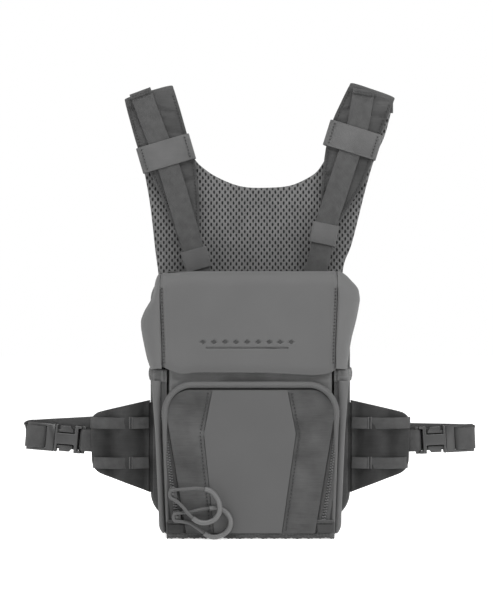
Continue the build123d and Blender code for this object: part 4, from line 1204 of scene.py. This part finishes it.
    # wide keeper: an elastic loop round pad and webbing
    x, z, degrees, half = data["wide"]
    a = np.radians(degrees)
    right, ahead = np.array([np.cos(a), 0, np.sin(a)]), np.array([-np.sin(a), 0, np.cos(a)])
    loop = roundedBox(2 * half, 8.6, 3.0, 8)
    loop = alongCurve(np.concatenate([loop, loop[:1]]), 141, smooth=False)[:-1]
    ring = np.array([x, 46.3, z]) + loop[:, :1] * right + loop[:, 1:] * np.array([0, 1.0, 0])
    bow = 0.8 * (1 - (loop[:, 0] / half) ** 2) * (loop[:, 1] < 0)
    ring[:, 1] -= bow
    place(sweepPiece(f"wideKeeper{title}", ring, ahead, roundedBox(24, 1.1, 0.45, 4),
                     keeperElastic,
                     closed=True), "pack", "elastic", f"wide_keeper_{sideName}")
    for end in (-1, 1):
        spot = np.array([x, 41.25, z]) + end * (half - 4.2) * right
        t = np.linspace(-10.5, 10.5, 12)[:, None]
        name = f"keeperStitches{'In' if end * side < 0 else 'Out'}{title}"
        place(stitchRow(name, spot + t * ahead, 2.7, 1.5, 0.7, thread, 0.9), "pack", "elastic")
    # small keeper: a sliding loop round the webbing
    k = np.argmin(np.abs(route[:, 1] - data["small"]))
    ahead = -np.array([heading[k, 0], 0, heading[k, 1]]) / np.linalg.norm(heading[k])
    right = np.cross(ahead, (0, -1.0, 0)) * -1
    loop = roundedBox(23.4, 2.9, 1.3, 6)
    loop = alongCurve(np.concatenate([loop, loop[:1]]), 91, smooth=False)[:-1]
    ring = path[k] + (0, -0.3, 0) + loop[:, :1] * right + loop[:, 1:] * np.array([0, 1.0, 0])
    place(sweepPiece(f"smallKeeper{title}", ring, ahead, roundedBox(19, 0.9, 0.4, 4),
                     keeperElastic,
                     closed=True), f"{sideName}_keeper", "elastic", f"small_keeper_{sideName}")
print("shoulder harness made")

# Yoke: one sheet of spacer mesh whose top edge dips round the neck
yoke = {
    "left": [(-60, 130), (-70, 148), (-78, 170), (-82.4, 205), (-84.9, 232.7), (-87.7, 253.7),
             (-92.3, 294.4),
             (-97.8, 325.8), (-104, 352), (-113, 387.4)],
    "right": [(60, 130), (70, 148), (78, 170), (83, 205), (86.2, 239.6), (94.1, 261.7),
              (107.4, 314.2),
              (115.6, 340.8), (124.2, 360.2), (131.5, 387.4)],
    "neck": [(-76, 387.4), (-64, 361), (-50.9, 338.1), (-42.6, 329.8), (-32.5, 322.9),
             (-15.9, 315.5),
             (-0.3, 312.3), (23.6, 312.5), (38.1, 314.5), (51.2, 320.1), (61.2, 326.8),
             (68.5, 337.2),
             (84, 362), (98, 387.4)],
    "depth": 53.2, "half": 1.7,
}
steps = 130
leftLine, rightLine = alongCurve(yoke["left"], steps), alongCurve(yoke["right"], steps)
neck = alongCurve(yoke["neck"], 110)
topLine = np.concatenate([alongCurve([leftLine[-1], neck[0]], 26, False)[:-1], neck,
                          alongCurve([neck[-1], rightLine[-1]], 26, False)[1:]])
bottomLine = alongCurve([leftLine[0], rightLine[0]], len(topLine), False)
u = np.linspace(0, 1, len(topLine))[:, None, None]
v = np.linspace(0, 1, steps)[None, :, None]
patch = ((1 - v) * bottomLine[:, None] + v * topLine[:, None] + (1 - u) * leftLine[None] + u
         * rightLine[None]
         - (1 - u) * (1 - v) * bottomLine[0] - u * (1 - v) * bottomLine[-1]
         - (1 - u) * v * topLine[0] - u * v * topLine[-1])
swell = edgeRound(u[..., 0], 40) * edgeRound(v[..., 0], 40)
frontFace = np.stack([patch[..., 0], yoke["depth"] - yoke["half"] * swell, patch[..., 1]], -1)
backFace = np.stack([patch[..., 0], yoke["depth"] + yoke["half"] * swell, patch[..., 1]], -1)
yokePanel = shellPiece("yokePanel", frontFace, backFace, yokeMesh)
place(yokePanel, "yoke", "mesh", "yoke_panel")
for side, name in ((-1, "Left"), (1, "Right")):
    z = np.linspace(142, 117, 30)
    path = np.stack([np.full(30, side * 50.0), np.full(30, 55.6), z], 1)
    stub = sweepPiece(f"yokeStub{name}", path, (1.0, 0.0, 0.0), roundedBox(20, 1.35, 0.5, 4),
                      webbing)
    place(stub, "yoke", "webbing", "yoke_straps" if side < 0 else None)
print("yoke made")

# Zipper sliders and their pulls
pull = {"cord": 2.8, "grip": 4.4, "face": -51.3, "coil": 5.3, "coilInCad": 3.5}
pulls = {
    "upper": {
        "height": 40.0,
        "cord": [(27.6, 7.3, 4.6), (21.0, 7.2, 5.7), (12.6, 6.2, 4.5), (4.4, 4.1, 3.9),
                 (-2.95, 3.6, 3.3),
                 (-2.95, 3.6, -3.3), (3.0, 4.1, -5.8), (8.8, 6.0, -11.0), (13.2, 7.2, -16.8),
                 (17.4, 7.3, -20.4)],
        "grip": [(27.6, 7.3, 4.6), (33.2, 7.35, 3.6), (39.6, 7.3, -4.6), (41.2, 7.25, -14.6),
                 (36.6, 7.3, -22.0), (28.0, 7.35, -25.0), (21.0, 7.36, -23.5), (17.4, 7.3, -20.4)],
    },
    "lower": {
        "height": 20.0,
        "cord": [(28.4, 2.75, 7.6), (20.4, 2.8, 7.0), (12.4, 2.9, 4.2), (5.2, 3.2, 3.6),
                 (-2.95, 3.4, 3.3),
                 (-2.95, 3.4, -3.3), (4.2, 3.2, -3.9), (11.4, 2.9, -5.0), (18.2, 2.8, -9.8),
                 (23.9, 2.75, -14.0)],
        "grip": [(28.4, 2.75, 7.6), (36.0, 2.7, 8.2), (44.0, 2.75, 3.6), (47.4, 2.7, -4.4),
                 (44.6, 2.75, -12.4), (37.4, 2.7, -16.8), (28.8, 2.72, -17.6),
                 (23.9, 2.75, -14.0)],
    },
}


def splineLine(points):
    # the line of a NURBS spline with these control points, in millimetres
    curve = bpy.data.curves.new("route", "CURVE")
    curve.dimensions = "3D"
    spline = curve.splines.new("NURBS")
    spline.points.add(len(points) - 1)
    spline.points.foreach_set("co",
                              np.column_stack([points,
                                               np.ones(len(points))]).astype(np.float32).ravel())
    spline.order_u = 3
    spline.use_endpoint_u = True
    spline.resolution_u = 14
    holder = bpy.data.objects.new("route", curve)
    mesh = bpy.data.meshes.new_from_object(holder)
    line = np.empty(len(mesh.vertices) * 3, np.float32)
    mesh.vertices.foreach_get("co", line)
    bpy.data.meshes.remove(mesh)
    bpy.data.objects.remove(holder)
    bpy.data.curves.remove(curve)
    return line.reshape(-1, 3).astype(float)


def shiftMesh(piece, step):
    # the piece's points moved by a step in millimetres
    spots = np.empty(len(piece.data.vertices) * 3, np.float32)
    piece.data.vertices.foreach_get("co", spots)
    piece.data.vertices.foreach_set("co", (spots.reshape(-1, 3) + np.array(step) * mm).ravel())


for name, data in pulls.items():
    height = data["height"]
    coilLean = np.radians(face["lean"])
    x = -(face["lowHalf"] + pull["coil"] / np.cos(coilLean) + (height - face["bottom"])
          * np.tan(coilLean))
    origin = np.array([x, pull["face"], height])
    body = f"{name}_pull"
    slider = softened(f"zipper_slider_{name}", f"slider{name.title()}", 0.8, sliderMetal,
                      f"{name}_slider",
                      "slider_metal")
    shiftMesh(slider, ((pull["coilInCad"] - pull["coil"]) / np.cos(coilLean), 0, 0))
    grip = splineLine([origin + (a, -b, c) for a, b, c in data["grip"]])
    gripPiece = sweepPiece(f"pullGrip{name.title()}", grip, tubeAcross(grip),
                           circleProfile(pull["grip"], 18),
                           gripPolymer)
    place(gripPiece, body, "moulded_plastic", f"pull_grip_{name}")
    route = splineLine([origin + (a, -b, c) for a, b, c in data["cord"]])
    cordPiece = sweepPiece(f"pullCord{name.title()}", route, tubeAcross(route),
                           circleProfile(pull["cord"], 14),
                           pullCord)
    place(cordPiece, body, "cord", f"pull_cord_{name}")
print("zipper pulls made")


# Strips of cloth across the joints, which turn from one body to the other
def joinStrip(name, low, high, depth, half, material):
    strip = padPiece(name, np.array(low, float), np.array(high, float), depth, half, material, 6,
                     6, 30)
    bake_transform(strip)


way = np.linspace(0, 1, 26)[:, None]
for side, name, inner, outer in ((-1, "left", -75.4, -113.4), (1, "right", 97.4, 131.9)):
    joinStrip(f"shoulderFold{name.title()}", (inner, 393.5) + way * (0, -12.5),
              (outer, 393.5) + way * (0, -12.5),
              53.3, 2.9, packCloth)
    joinStrip(f"wingRoot{name.title()}", (side * 87.4, 29.8) + way * (side * 10.0, 4.0),
              (side * 87.4, 115.0) + way * (side * 10.0, -1.5), 47.6, 2.4, wingCloth)
stripX = np.linspace(-75.5, 75.5, 60)
turnPath = alongCurve([(39.8, 225.5), (40.1, 229.6), (39.6, 232.6), (37.2, 234.2), (33.0, 234.4),
                       (28.0, 234.2)], 30)
outerFace = np.stack([np.broadcast_to(stripX[:, None], (60, 30)),
                      np.broadcast_to(turnPath[:, 0] + 0.5, (60, 30)),
                      np.broadcast_to(turnPath[:, 1] + 0.3, (60, 30))], -1)
hingeFold = shellPiece("lidHingeFold", outerFace, outerFace - (0, 0.7, 0.8), packCloth)
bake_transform(hingeFold)
joinStrip("flapFold", (-55.5, 3.4) + way * (0, 5.4), (55.5, 3.4) + way * (0, 5.4), -48.9, 0.9,
          packCloth)
print("joining strips made")

# Floor, light and camera
studio = {"cameraX": -3.5, "cameraZ": 201.0, "distance": 1700.0, "plane": 46.0, "lens": 108.0,
          "left": 20.0, "right": 31.0, "top": 50.0, "world": 0.46, "floorGlow": 0.55}


def stagePlane(name, corners, code, glow):
    # a matt sheet of paper, with a glow for the light that the room throws back
    mesh = bpy.data.meshes.new(name)
    mesh.from_pydata(corners, [], [(0, 1, 2, 3)])
    material, tree, shader = startMaterial(name, 0.9)
    shader.inputs["Base Color"].default_value = linearColour(code)
    shader.inputs["Emission Color"].default_value = (1, 1, 1, 1)
    shader.inputs["Emission Strength"].default_value = glow
    mesh.materials.append(material)
    showObject(name, mesh)


stagePlane("paperFloor", [(-6, -6, 0), (6, -6, 0), (6, 6, 0), (-6, 6, 0)], "#ffffff",
           studio["floorGlow"])

world = bpy.data.worlds.new("studioWorld")
world.use_nodes = True
tree = world.node_tree
light = tree.nodes["Background"]
light.inputs["Color"].default_value = (1, 1, 1, 1)
light.inputs["Strength"].default_value = studio["world"]
# the paper backdrop is white to look at and softer as a light
paper = addNode(tree, "Background", {"Color": (1, 1, 1, 1), "Strength": 1.0})
rays = addNode(tree, "LightPath")
blend = addNode(tree, "MixShader", [rays.outputs["Is Camera Ray"], light, paper])
tree.links.new(blend.outputs[0], tree.nodes["World Output"].inputs["Surface"])
bpy.context.scene.world = world


def areaLight(name, spot, aim, size, power):
    # a soft box at a spot, turned to its aim
    data = bpy.data.lights.new(name, "AREA")
    data.shape = "RECTANGLE"
    data.size, data.size_y, data.energy = *size, power
    light = showObject(name, data)
    light.location = spot
    light.rotation_euler = (Vector(aim) - Vector(spot)).to_track_quat("-Z", "Y").to_euler()


areaLight("leftBox", (-1.7, -1.0, 0.8), (0, 0, 0.2), (1.1, 1.5), studio["left"])
areaLight("rightBox", (1.7, -1.0, 0.8), (0, 0, 0.2), (1.1, 1.5), studio["right"])
areaLight("topBox", (0.0, -0.9, 1.9), (0, 0, 0.2), (1.5, 1.0), studio["top"])

camera = showObject("camera", bpy.data.cameras.new("camera"))
camera.data.lens = studio["lens"]
camera.data.sensor_width = 36.0
camera.data.sensor_fit = "AUTO"
camera.location = Vector((studio["cameraX"], studio["plane"] - studio["distance"],
                          studio["cameraZ"])) * mm
camera.rotation_euler = (np.pi / 2, 0, 0)
camera.data.clip_end = 30
bpy.context.scene.camera = camera
bpy.context.scene.view_settings.view_transform = "Standard"

print("scene made")
